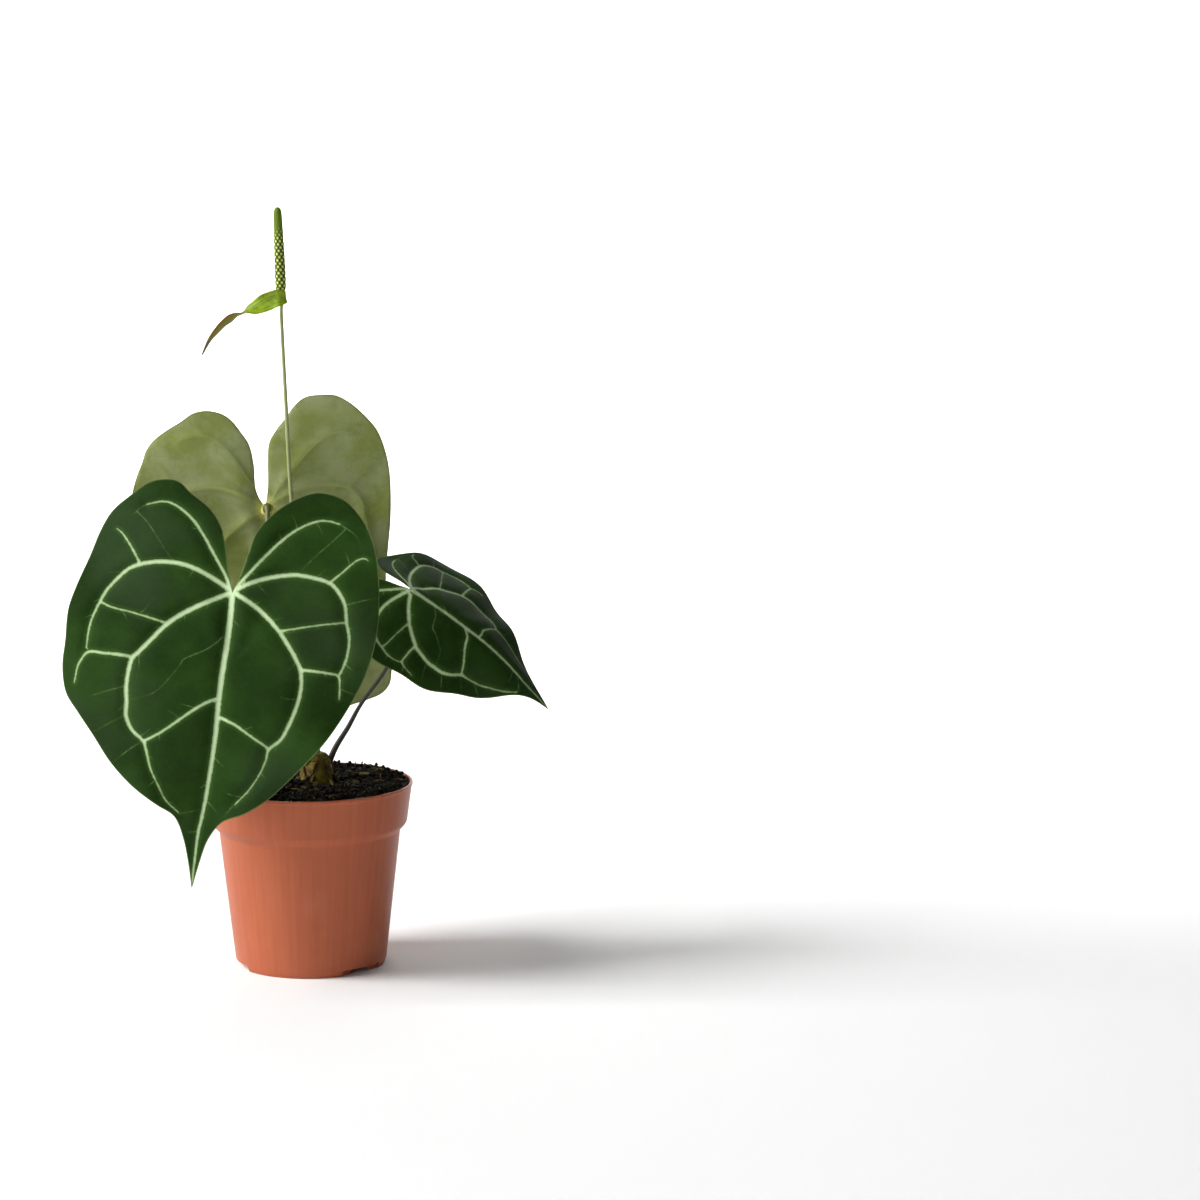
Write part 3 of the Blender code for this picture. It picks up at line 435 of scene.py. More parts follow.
class NodeBoard:
    """A material being wired, with short ways to add its nodes."""

    def __init__(self, name: str) -> None:
        """Starts the material and its object coordinates."""
        self.material = bpy.data.materials.new(name)
        self.material.use_nodes = True
        self.tree = self.material.node_tree
        self.shader = self.tree.nodes["Principled BSDF"]
        self.place = self.tree.nodes.new("ShaderNodeTexCoord").outputs["Object"]

    def feed(self, socket: Socket, value: object) -> None:
        """Links a socket, or sets its value."""
        if isinstance(value, Socket):
            self.tree.links.new(value, socket)
        else:
            socket.default_value = value

    def node(self, kind: str, inputs: dict, **settings: object) -> bpy.types.Node:
        """Adds a node.

        Args:
            kind: Its type.
            inputs: What goes into which socket, by name or number.
            settings: Its own settings.

        Returns:
            The node.
        """
        made = self.tree.nodes.new(kind)
        for key, value in settings.items():
            setattr(made, key, value)
        for key, value in inputs.items():
            self.feed(made.inputs[key], value)
        return made

    def noise(self, scale: float, detail: float = 3.0, place: object = None) -> Socket:
        """Cloudy values around one half; a scale of 100 gives patches of about a centimetre."""
        inputs = {"Vector": place or self.place, "Scale": scale, "Detail": detail, "Roughness": 0.55}
        return self.node("ShaderNodeTexNoise", inputs).outputs["Fac"]

    def cells(self, scale: float) -> Socket:
        """Distances to the edge of a pattern of cells."""
        inputs = {"Vector": self.place, "Scale": scale}
        made = self.node("ShaderNodeTexVoronoi", inputs, feature="DISTANCE_TO_EDGE")
        return made.outputs["Distance"]

    def math(self, operation: str, first: object, second: object = 0.0) -> Socket:
        """One sum of two values."""
        return self.node("ShaderNodeMath", {0: first, 1: second}, operation=operation).outputs[0]

    def step(self, value: object, low: float, high: float, top: float = 1.0) -> Socket:
        """A smooth rise from 0 at low to top at high."""
        inputs = {"Value": value, "From Min": low, "From Max": high, "To Min": 0.0, "To Max": top}
        return self.node("ShaderNodeMapRange", inputs, interpolation_type="SMOOTHSTEP").outputs["Result"]

    def mix(self, share: object, first: object, second: object) -> Socket:
        """Two colours mixed by a share."""
        made = self.node("ShaderNodeMix", {}, data_type="RGBA", blend_type="MIX")
        for number, value in ((0, share), (6, first), (7, second)):
            self.feed(made.inputs[number], value)
        return made.outputs[2]

    def layer(self, under: object, over: object, value: object, low: float, high: float,
              top: float = 1.0) -> Socket:
        """A colour laid over another where a value passes from low to high."""
        return self.mix(self.step(value, low, high, top), under, over)

    def waver(self, value: object, scale: float, detail: float, size: float) -> Socket:
        """A value that noise moves up and down by a size."""
        return self.math("ADD", value, self.swing(scale, detail, size))

    def swing(self, scale: float, detail: float, size: float) -> Socket:
        """Noise that goes up and down round nothing."""
        return self.math("MULTIPLY", self.math("SUBTRACT", self.noise(scale, detail), 0.5), size)

    def stretched(self, place: object, scale: tuple[float, float, float]) -> Socket:
        """Coordinates drawn out along an axis."""
        return self.node("ShaderNodeMapping", {"Vector": place, "Scale": scale}).outputs[0]

    def ramp(self, value: object, size: float, low: float) -> Socket:
        """A value scaled by a size and raised to start at low."""
        return self.math("ADD", self.math("MULTIPLY", value, size), low)

    def attribute(self, name: str) -> Socket:
        """A number that is stored on the mesh."""
        made = self.node("ShaderNodeAttribute", {}, attribute_name=name, attribute_type="GEOMETRY")
        return made.outputs["Fac"]

    def around(self) -> Socket:
        """Coordinates that run round the upright axis and up it, for marks that a mould leaves."""
        parts = self.node("ShaderNodeSeparateXYZ", {0: self.place})
        turn = self.math("ARCTAN2", parts.outputs[1], parts.outputs[0])
        return self.node("ShaderNodeCombineXYZ", {0: turn, 1: parts.outputs[2]}).outputs[0]

    def bump(self, height: object, distance: float, strength: float = 1.0, normal: object = None) -> object:
        """Turns heights into shading of relief, after the relief already in normal."""
        inputs = {"Height": height, "Distance": distance, "Strength": strength}
        if normal is not None:
            inputs["Normal"] = normal
        return self.node("ShaderNodeBump", inputs).outputs["Normal"]

    def finish(self, colour: object, roughness: object, normal: object = None, **fixed: float) -> object:
        """Wires the shader and sets its fixed sockets.

        Args:
            colour: Base colour.
            roughness: Roughness.
            normal: Relief, or None.
            fixed: Sockets that are the same all over, with underscores for spaces.

        Returns:
            The material.
        """
        self.feed(self.shader.inputs["Base Color"], colour)
        self.feed(self.shader.inputs["Roughness"], roughness)
        if normal is not None:
            self.feed(self.shader.inputs["Normal"], normal)
        for name, value in fixed.items():
            self.shader.inputs[name.replace("_", " ")].default_value = value
        return self.material


@dataclass(frozen=True)
class PlasticFinish:
    """Thin terracotta coloured plastic with the faint upright streaks of its mould."""

    name: str = "terracotta_plastic"
    light: Colour = srgb(172, 95, 66)
    deep: Colour = srgb(166, 89, 61)
    dust: Colour = srgb(190, 130, 102)

    def material(self) -> bpy.types.Material:
        """The finished material."""
        board = NodeBoard(self.name)
        stretched = board.stretched(board.around(), (9, 7, 1))
        streaks = board.noise(2.0, 4.0, stretched)
        fine = board.noise(22.0, 3.0, stretched)
        cloud = board.noise(34.0, 4.0)
        colour = board.layer(self.deep, self.light, streaks, 0.3, 0.7)
        colour = board.layer(colour, self.dust, cloud, 0.5, 0.78, 0.14)
        colour = board.layer(colour, self.deep, fine, 0.4, 0.9, 0.05)
        normal = board.bump(board.noise(2600.0, 2.0), 0.00003, 0.5)
        return board.finish(colour, board.ramp(cloud, 0.16, 0.34), normal, Specular_IOR_Level=0.14,
                            Subsurface_Weight=0.05, Subsurface_Scale=0.003)


@dataclass(frozen=True)
class MixFinish:
    """Damp potting mix, from black peat to pale grit by the tone stored on each crumb."""

    name: str = "potting_mix_crumb"
    peat: Colour = srgb(8, 6, 3)
    earth: Colour = srgb(26, 21, 11)
    moss: Colour = srgb(74, 68, 34)
    chip: Colour = srgb(108, 82, 54)
    grit: Colour = srgb(176, 164, 142)

    def material(self) -> bpy.types.Material:
        """The finished material."""
        board = NodeBoard(self.name)
        tone = board.waver(board.attribute("tone"), 620.0, 4.0, 0.35)
        colour = board.layer(self.peat, self.earth, tone, 0.12, 0.42)
        colour = board.layer(colour, self.moss, tone, 0.45, 0.62)
        colour = board.layer(colour, self.chip, tone, 0.66, 0.8)
        colour = board.layer(colour, self.grit, tone, 0.88, 0.98)
        normal = board.bump(board.noise(1500.0, 5.0), 0.0004, 0.9)
        return board.finish(colour, 0.9, normal, Specular_IOR_Level=0.12)


@dataclass(frozen=True)
class BarkFinish:
    """The stem's skin: olive above, brown and corky below, with dark scars."""

    name: str = "stem_skin"
    olive: Colour = srgb(132, 120, 50)
    brown: Colour = srgb(100, 76, 40)
    dark: Colour = srgb(26, 18, 10)

    def material(self) -> bpy.types.Material:
        """The finished material."""
        board = NodeBoard(self.name)
        patches = board.noise(160.0, 5.0)
        colour = board.layer(self.olive, self.brown, patches, 0.4, 0.62)
        colour = board.layer(colour, self.dark, board.attribute("scar"), 0.1, 0.9, 0.85)
        specks = board.noise(900.0, 4.0)
        colour = board.layer(colour, self.dark, specks, 0.58, 0.72, 0.6)
        normal = board.bump(specks, 0.0004, 0.8)
        return board.finish(colour, 0.78, normal, Specular_IOR_Level=0.15)


@dataclass(frozen=True)
class StalkFinish:
    """Smooth skin of a stalk, paler at one end, with fine lengthwise lines and specks."""

    name: str
    foot: Colour
    middle: Colour
    knob: Colour
    knob_start: float = 0.86

    def material(self) -> bpy.types.Material:
        """The finished material."""
        board = NodeBoard(self.name)
        along = board.attribute("along")
        colour = board.layer(self.foot, self.middle, along, 0.0, 0.3)
        lines = board.noise(1100.0, 3.0, board.stretched(board.place, (1, 1, 0.12)))
        colour = board.layer(colour, self.foot, lines, 0.45, 0.75, 0.45)
        colour = board.layer(colour, self.knob, along, self.knob_start, self.knob_start + 0.06)
        normal = board.bump(lines, 0.00015, 0.7)
        return board.finish(colour, 0.46, normal, Specular_IOR_Level=0.45, Subsurface_Weight=0.05,
                            Subsurface_Scale=0.002)


@dataclass(frozen=True)
class VelvetFinish:
    """The upper face of a blade: deep velvety green with pale veins, a soft halo and a thin pale margin."""

    name: str = "leaf_velvet"
    deep: Colour = srgb(26, 49, 12)
    fresh: Colour = srgb(37, 64, 18)
    # Blue-grey of the painted velvet sheen.
    sheen_grey: Colour = srgb(47, 64, 39)
    halo: Colour = srgb(60, 90, 36)
    vein: Colour = srgb(156, 182, 130)
    core: Colour = srgb(188, 208, 168)
    fine: Colour = srgb(96, 130, 78)
    margin: Colour = srgb(100, 116, 68)

    def material(self) -> bpy.types.Material:
        """The finished material."""
        board = NodeBoard(self.name)
        cloud = board.noise(30.0, 3.0)
        drift = board.noise(16.0, 2.0)
        nap = board.noise(700.0, 4.0)
        colour = board.layer(self.deep, self.fresh, cloud, 0.34, 0.7)
        # Painted velvet sheen: blue-grey patches laid over the green.
        colour = board.layer(colour, self.sheen_grey, drift, 0.46, 0.7, 0.55)
        colour = board.layer(colour, self.halo, nap, 0.4, 0.8, 0.12)
        wobble = board.swing(420.0, 3.0, 0.8)
        edge = board.waver(board.math("ADD", board.attribute("vein_edge"), wobble), 1300.0, 2.0, 0.7)
        colour = board.layer(colour, self.halo, edge, 2.8, 0.0, 0.45)
        thread = board.math("ADD", board.attribute("fine_edge"), wobble)
        colour = board.layer(colour, self.halo, thread, 1.3, 0.1, 0.22)
        broken = board.step(board.noise(70.0, 2.0), 0.3, 0.62)
        thin = board.math("MULTIPLY", board.step(thread, 0.4, -0.1), board.math("ADD", broken, 0.2))
        colour = board.mix(board.math("MINIMUM", thin, 0.6), colour, self.fine)
        body = board.step(edge, 0.5, -0.42)
        tint = board.mix(board.step(edge, -0.25, -1.1), self.vein, self.core)
        colour = board.mix(body, colour, tint)
        rim = board.math("ADD", board.attribute("rim"), board.math("MULTIPLY", wobble, 0.3))
        colour = board.layer(colour, self.margin, rim, 0.65, 0.15, 0.75)
        normal = board.bump(board.noise(1900.0, 3.0), 0.00012, 0.7)
        normal = board.bump(nap, 0.0002, 0.35, normal)
        return board.finish(colour, board.ramp(nap, 0.2, 0.6), normal, Specular_IOR_Level=0.06,
                            Sheen_Weight=0.02, Sheen_Roughness=0.4)


@dataclass(frozen=True)
class UndersideFinish:
    """The lower face of a blade: matt olive with faint pale veins and a warm patch round the joint."""

    name: str = "leaf_underside"
    olive: Colour = srgb(129, 139, 72)
    grey: Colour = srgb(146, 154, 106)
    deep: Colour = srgb(112, 124, 60)
    vein: Colour = srgb(154, 162, 94)
    web: Colour = srgb(92, 104, 44)
    knob: Colour = srgb(206, 206, 122)

    def material(self) -> bpy.types.Material:
        """The finished material."""
        board = NodeBoard(self.name)
        colour = board.layer(self.olive, self.grey, board.noise(42.0, 3.0), 0.36, 0.64)
        colour = board.layer(colour, self.deep, board.noise(95.0, 4.0), 0.48, 0.74, 0.5)
        colour = board.layer(colour, self.grey, board.noise(120.0, 3.0), 0.52, 0.7, 0.35)
        web = board.step(board.cells(150.0), 0.07, 0.0)
        web = board.math("MULTIPLY", web, board.step(board.noise(70.0, 2.0), 0.4, 0.7, 0.3))
        colour = board.mix(web, colour, self.web)
        edge = board.attribute("vein_edge")
        faint = board.step(board.noise(26.0, 2.0), 0.3, 0.7)
        # Painted shade: a darker band along each side of the raised ribs.
        colour = board.layer(colour, self.deep, edge, 3.4, 0.3, 0.22)
        thin = board.math("MULTIPLY", board.step(edge, 0.0, -0.7), board.math("ADD", faint, 0.2))
        colour = board.mix(board.math("MINIMUM", thin, 0.8), colour, self.vein)
        colour = board.layer(colour, self.vein, board.attribute("fine_edge"), 0.5, 0.0, 0.3)
        colour = board.layer(colour, self.knob, board.attribute("joint"), 9.0, 2.5, 0.9)
        colour = board.layer(colour, self.web, board.attribute("rim"), 0.9, 0.2, 0.5)
        normal = board.bump(board.noise(1300.0, 4.0), 0.0002, 0.7)
        return board.finish(colour, 0.6, normal, Specular_IOR_Level=0.2)


@dataclass(frozen=True)
class SpatheFinish:
    """The spathe: bright yellow green that dries to olive brown with a reddish edge and a grey tip."""

    name: str = "spathe_skin"
    fresh: Colour = srgb(130, 156, 30)
    shade: Colour = srgb(102, 128, 20)
    dry: Colour = srgb(118, 116, 40)
    red: Colour = srgb(128, 80, 50)
    tip: Colour = srgb(112, 104, 92)

    def material(self) -> bpy.types.Material:
        """The finished material."""
        board = NodeBoard(self.name)
        along = board.attribute("along")
        side = board.attribute("side")
        cloud = board.noise(260.0, 4.0)
        colour = board.layer(self.fresh, self.shade, cloud, 0.4, 0.65, 0.8)
        wandering = board.waver(along, 260.0, 4.0, 0.25)
        colour = board.layer(colour, self.dry, wandering, 0.48, 0.72, 0.85)
        edge = board.math("MULTIPLY", board.step(side, 0.45, 0.95), board.step(wandering, 0.5, 0.62))
        colour = board.mix(edge, colour, self.red)
        colour = board.layer(colour, self.tip, wandering, 0.9, 0.99)
        ribs = board.math("SINE", board.math("MULTIPLY", side, 17.0))
        normal = board.bump(ribs, 0.00012, 0.6)
        normal = board.bump(board.noise(1200.0, 3.0), 0.0001, 0.5, normal)
        return board.finish(colour, 0.45, normal, Specular_IOR_Level=0.25, Subsurface_Weight=0.08,
                            Subsurface_Scale=0.002)


@dataclass(frozen=True)
class FloretFinish:
    """The spike's florets: green, with a pale dot in each on the lower part."""

    name: str = "spadix_florets"
    green: Colour = srgb(92, 114, 24)
    deep: Colour = srgb(30, 40, 4)
    dot: Colour = srgb(210, 216, 124)

    def material(self) -> bpy.types.Material:
        """The finished material."""
        board = NodeBoard(self.name)
        dome = board.attribute("dome")
        # Painted shade: dark in the hollows between the florets, green on their domes.
        colour = board.layer(self.deep, self.green, dome, 0.1, 0.7)
        colour = board.layer(colour, self.dot, board.attribute("dot"), 0.15, 0.7)
        colour = board.layer(colour, self.deep, board.noise(500.0, 3.0), 0.5, 0.8, 0.35)
        normal = board.bump(board.noise(2400.0, 2.0), 0.00008, 0.5)
        return board.finish(colour, 0.55, normal, Specular_IOR_Level=0.2)


@dataclass(frozen=True)
class FloorFinish:
    """The plain pale studio floor."""

    name: str = "studio_floor"
    white: Colour = (0.9, 0.9, 0.9, 1.0)

    def material(self) -> bpy.types.Material:
        """The finished material."""
        board = NodeBoard(self.name)
        return board.finish(self.white, 0.9, Specular_IOR_Level=0.1)


def dress(obj: Piece, nodes: Sequence[str], slot: str, *materials: bpy.types.Material) -> None:
    """Gives a piece its materials and ties it to the model.

    Args:
        obj: The piece.
        nodes: The solids that it stands for.
        slot: The record's material slot, not used.
        materials: Its materials, if it doesn't have them yet.
    """
    for material in materials:
        obj.data.materials.append(material)
    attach(obj, "root")
    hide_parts(*nodes)
    LOG.info("%s: %d faces, stands for %s", obj.name, len(obj.data.polygons), ", ".join(nodes))


@dataclass
class Pot:
    """The nursery pot: tapered body, deep rim band, raised floor, notched foot and drain holes."""

    height: float = 107 * MM
    rim: float = 60 * MM
    band_foot: float = 56.4 * MM
    body_top: float = 52.5 * MM
    base: float = 43.6 * MM
    band: float = 24 * MM
    shoulder: float = 4 * MM
    wall: float = 1.2 * MM
    foot: float = 4 * MM
    ring: float = 3.4 * MM
    floor: float = 1.4 * MM
    pad: float = 8 * MM
    notches: tuple[float, ...] = (48, 168, 288)
    notch_width: float = 29 * MM
    drains: int = 6
    drain_ring: float = 28 * MM
    drain_radius: float = 3 * MM
    steps: int = 144

    def inner_at(self, z: float) -> float:
        """Inside radius of the tapered body at a height."""
        share = (z - self.foot) / (self.height - self.band - self.shoulder - self.foot)
        return self.base + (self.body_top - self.base) * share - self.wall

    def inner_band_at(self, z: float) -> float:
        """Inside radius within the rim band at a height."""
        low = self.height - self.band
        foot, top = self.band_foot - 0.5 * MM - self.wall, self.rim - 0.6 * MM - self.wall
        return foot + (top - foot) * (z - low) / self.band

    def corners(self) -> list[tuple[float, float, float]]:
        """The cross section's corners: radius, height and rounding, in metres."""
        shoulder = self.height - self.band - self.shoulder
        band = self.height - self.band
        floor = self.foot + self.floor
        return [
            (0, 0, 0),
            (self.pad, 0, 0.5 * MM),
            (self.pad + 0.8 * MM, self.foot, 0.4 * MM),
            (self.base - self.ring - 0.8 * MM, self.foot, 0.4 * MM),
            (self.base - self.ring, 0, 0.5 * MM),
            (self.base - 0.9 * MM, 0, 0.7 * MM),
            (self.base + 0.2 * MM, 3 * MM, 0.9 * MM),
            (self.body_top, shoulder - 0.4 * MM, 0.8 * MM),
            (self.body_top + 0.6 * MM, shoulder + 0.7 * MM, 0.7 * MM),
            (self.band_foot - 0.5 * MM, band - 0.2 * MM, 0.5 * MM),
            (self.band_foot + 0.15 * MM, band + 1 * MM, 0.6 * MM),
            (self.rim - 0.62 * MM, self.height - 2.3 * MM, 0.5 * MM),
            (self.rim, self.height - 1.7 * MM, 0.3 * MM),
            (self.rim, self.height, 0.55 * MM),
            (self.rim - 1.5 * MM, self.height, 0.55 * MM),
            (self.rim - 0.6 * MM - self.wall, self.height - 1.6 * MM, 0.4 * MM),
            (self.band_foot - 0.5 * MM - self.wall, band, 0.8 * MM),
            (self.body_top - self.wall, shoulder, 0.8 * MM),
            (self.inner_at(floor), floor, 1.6 * MM),
            (0, floor, 0),
        ]

    def section(self) -> np.ndarray:
        """The cross section with its corners rounded, as rows of x, y and z."""
        rows = []
        corners = self.corners()
        for number, (radius, z, rounding) in enumerate(corners):
            here = np.array([radius, z])
            if rounding == 0:
                rows.append(here)
                continue
            before = np.array(corners[number - 1][:2]) - here
            after = np.array(corners[number + 1][:2]) - here
            start = here + before / np.linalg.norm(before) * min(rounding, np.linalg.norm(before) / 2.05)
            end = here + after / np.linalg.norm(after) * min(rounding, np.linalg.norm(after) / 2.05)
            for t in np.linspace(0, 1, 5):
                rows.append((1 - t) ** 2 * start + 2 * t * (1 - t) * here + t**2 * end)
        flat = np.array(rows)
        return np.column_stack([flat[:, 0], np.zeros(len(flat)), flat[:, 1]])

    def cutter(self) -> Piece:
        """The foot notches and drain holes as one object."""
        made = []
        for angle in self.notches:
            turn = math.radians(angle - 90)
            place = (self.base * math.cos(turn), self.base * math.sin(turn), 0)
            deselect()
            bpy.ops.mesh.primitive_cube_add(size=1, location=place, rotation=(0, 0, turn))
            box = bpy.context.object
            box.scale = (2.5 * self.ring, self.notch_width, 2 * (self.foot - 0.4 * MM))
            settle(box)
            made.append(box)
        for number in range(self.drains):
            turn = 2 * math.pi * (number + 0.3) / self.drains
            deselect()
            bpy.ops.mesh.primitive_cylinder_add(
                vertices=32, radius=self.drain_radius, depth=6 * self.floor,
                location=(self.drain_ring * math.cos(turn), self.drain_ring * math.sin(turn), self.foot))
            hole = bpy.context.object
            settle(hole)
            made.append(hole)
        only(made[0])
        for obj in made:
            obj.select_set(True)
        bpy.ops.object.join()
        return bpy.context.object

    def build(self) -> None:
        """Spins the cross section, cuts the notches and holes, and dresses the pot."""
        rows = self.section()
        mesh = bpy.data.meshes.new("dressed_pot")
        mesh.from_pydata([tuple(row) for row in rows], [(i, i + 1) for i in range(len(rows) - 1)], [])
        pot = bpy.data.objects.new("dressed_pot", mesh)
        bpy.context.scene.collection.objects.link(pot)
        only(pot)
        bpy.ops.object.mode_set(mode="EDIT")
        bpy.ops.mesh.select_all(action="SELECT")
        bpy.ops.mesh.spin(steps=self.steps, angle=2 * math.pi, center=(0, 0, 0), axis=(0, 0, 1))
        bpy.ops.object.mode_set(mode="OBJECT")
        weld(pot, 0.02)
        cutter = self.cutter()
        cut = pot.modifiers.new("notches", "BOOLEAN")
        cut.operation = "DIFFERENCE"
        cut.solver = "EXACT"
        cut.object = cutter
        only(pot)
        bpy.ops.object.modifier_apply(modifier=cut.name)
        bpy.data.objects.remove(cutter)
        smooth(pot, 32)
        dress(pot, ["pot"], "pot", PlasticFinish().material())


@dataclass(frozen=True)
class Grains:
    """One kind of grain: how many, smallest and largest radius in millimetres, flatness and tones."""

    name: str
    count: int
    sizes: Point
    flat: float
    tones: Point


@dataclass
class PottingMix:
    """The mix in the pot: a lumpy bed, with crumbs, bark chips, grit and root threads on it."""

    pot: Pot
    top: float = 105.5 * MM
    bump: float = 1.8 * MM
    stem_x: float = 4.5 * MM
    stem_y: float = 1 * MM
    hole: float = 10.6 * MM
    hole_foot: float = 79.7 * MM
    rings: int = 46
    steps: int = 150
    grains: tuple[Grains, ...] = (
        Grains("mix_crumbs", 1500, (0.6, 2.3), 0.75, (0.0, 0.5)),
        Grains("mix_chips", 70, (1.8, 4.4), 0.34, (0.35, 0.8)),
        Grains("mix_grit", 46, (0.5, 1.0), 0.8, (0.75, 0.95)),
    )
    lumps: tuple[tuple[float, float, float], ...] = ((1, 0.02, 8), (0.6, 0.05, 3.4), (0.35, 0.09, 1.5))
    heap: float = 1.5 * MM
    heap_start: float = 0.72
    threads: int = 34
    thread_radii: Point = (0.14, 0.24)
    thread_steps: Point = (1.2, 1.9)
    thread_sides: int = 5
    thread_points: int = 9
    seed: int = 7

    def lift(self, x: float, y: float) -> float:
        """How far the bed's surface rises over its level at a place."""
        lump = sum(share * noise.noise(Vector((x, y, z)) / (size * MM)) for share, z, size in self.lumps)
        far = math.hypot(x, y) / self.pot.rim
        return self.bump * (lump + 0.8 * (1 - far**2) + 0.7 * max(0.0, (far - 0.7) / 0.3))

    def bed(self) -> Piece:
        """The bed as one closed ring round the stem."""
        edge = self.pot.inner_band_at(self.top) - 0.3 * MM
        low = self.pot.height - self.pot.band
        rings = [(self.stem_x, self.stem_y, self.hole, self.hole_foot)]
        rings.append((0, 0, self.pot.inner_at(self.hole_foot - 6 * MM) - 1.2 * MM, self.hole_foot - 6 * MM))
        rings.append((0, 0, self.pot.inner_band_at(low) - 0.5 * MM, low))
        rings.append((0, 0, edge, self.top - 1 * MM))
        for number in range(self.rings + 1):
            share = number / self.rings
            radius = edge + (self.hole - edge) * share
            rings.append((self.stem_x * share, self.stem_y * share, radius, self.top))
        rings.append(rings[0])
        bed = drawn_rings("mix_bed", rings, self.steps)
        rows = places_of(bed)
        high = rows[:, 2] > self.top - 0.1 * MM
        rows[high, 2] += [self.lift(x, y) for x, y in rows[high, :2]]
        put_places(bed, rows)
        weld(bed)
        mark(bed, "tone", [0.16 + 0.25 * noise.noise(Vector(row) / (5 * MM)) for row in places_of(bed)])
        smooth(bed, ROUND_ANGLE)
        return bed

    def spot(self, draw: np.random.Generator, reach_share: float = 0.97) -> tuple[float, float]:
        """A random place on the bed, outside the stem."""
        while True:
            radius = self.pot.inner_band_at(self.top) * reach_share * math.sqrt(draw.random())
            turn = draw.random() * 2 * math.pi
            x, y = radius * math.cos(turn), radius * math.sin(turn)
            if math.hypot(x - self.stem_x, y - self.stem_y) > self.hole + 0.5 * MM:
                return x, y

    def scattered(self, kind: Grains, draw: np.random.Generator) -> Piece:
        """Lays many rough grains on the bed.

        Args:
            kind: Which grains.
            draw: The random source.

        Returns:
            The grains as one object.
        """
        small, large = kind.sizes
        dark, pale = kind.tones
        edge = self.pot.inner_band_at(self.top) - 0.2 * MM
        deselect()
        bpy.ops.mesh.primitive_ico_sphere_add(subdivisions=1, radius=1)
        grain = bpy.context.object
        shape = places_of(grain)
        corners = [tuple(face.vertices) for face in grain.data.polygons]
        bpy.data.objects.remove(grain)
        places, faces, tone = [], [], []
        for number in range(kind.count):
            size = small + (large - small) * draw.random() ** 2.4
            rough = shape * (1 + 0.5 * (draw.random((len(shape), 1)) - 0.5))
            proportions = (1, 0.55 + 0.45 * draw.random(), kind.flat * (0.7 + 0.6 * draw.random()))
            rough = rough * proportions * size * MM
            turn = Matrix.Rotation(draw.random() * 2 * math.pi, 3, "Z")
            tilt = Matrix.Rotation((draw.random() - 0.5) * 1.1, 3, "X")
            rough = rough @ np.array(turn @ tilt).T
            x, y = self.spot(draw)
            spread = np.hypot(rough[:, 0], rough[:, 1]).max()
            far = math.hypot(x, y)
            if far + spread > edge:
                x, y = x * (edge - spread) / far, y * (edge - spread) / far
            rise = max(0.0, (math.hypot(x, y) / edge - self.heap_start) / (1 - self.heap_start))
            heap = self.heap * rise**2
            rough = rough + (x, y, self.top + self.lift(x, y) + heap + 0.35 * size * kind.flat * MM)
            faces += [[c + number * len(shape) for c in face] for face in corners]
            places.append(rough)
            tone += [dark + (pale - dark) * draw.random()] * len(shape)
        made = mesh_object(kind.name, np.vstack(places), faces)
        mark(made, "tone", tone)
        smooth(made, 50)
        return made

    def root_threads(self, draw: np.random.Generator) -> Piece:
        """Thin pale roots and fibres that lie on the bed."""
        places, faces, tone = [], [], []
        sides = self.thread_sides
        for _ in range(self.threads):
            x, y = self.spot(draw, 0.88)
            turn = draw.random() * 2 * math.pi
            bend = (draw.random() - 0.5) * 0.9
            radius = (self.thread_radii[0] + self.thread_radii[1] * draw.random()) * MM
            step = (self.thread_steps[0] + self.thread_steps[1] * draw.random()) * MM
            line = []
            for _ in range(self.thread_points):
                if math.hypot(x, y) < self.pot.inner_band_at(self.top) - 1.6 * MM:
                    line.append((x, y, self.top + self.lift(x, y) + 0.9 * MM))
                turn += bend * 0.4 + (draw.random() - 0.5) * 0.5
                x, y = x + step * math.cos(turn), y + step * math.sin(turn)
            if len(line) < 4:
                continue
            route = smooth_line(line, 2)
            first = len(places)
            for row, here in enumerate(route):
                ahead = route[min(row + 1, len(route) - 1)] - route[max(row - 1, 0)]
                across = np.cross(ahead, (0, 0, 1))
                across /= np.linalg.norm(across)
                over = np.cross(across, ahead / np.linalg.norm(ahead))
                thin = radius * (1 - 0.6 * row / len(route))
                for side in range(sides):
                    angle = 2 * math.pi * side / sides
                    places.append(here + thin * (across * math.cos(angle) + over * math.sin(angle)))
            for row in range(len(route) - 1):
                for side in range(sides):
                    a, b = first + row * sides + side, first + row * sides + (side + 1) % sides
                    faces.append((a, b, b + sides, a + sides))
            faces.append([first + side for side in range(sides)][::-1])
            faces.append([first + (len(route) - 1) * sides + side for side in range(sides)])
            tone += [0.55 + 0.33 * draw.random()] * (len(places) - first)
        made = mesh_object("mix_roots", np.array(places), faces)
        mark(made, "tone", tone)
        weld(made, 0.001)
        smooth(made, ROUND_ANGLE)
        return made

    def build(self) -> None:
        """Makes and dresses the bed and all that lies on it."""
        draw = np.random.default_rng(self.seed)
        crumb = MixFinish().material()
        dress(self.bed(), ["potting_mix"], "mix", crumb)
        for kind in self.grains:
            dress(self.scattered(kind, draw), ["potting_mix"], "mix", crumb)
        dress(self.root_threads(draw), ["potting_mix"], "mix", crumb)


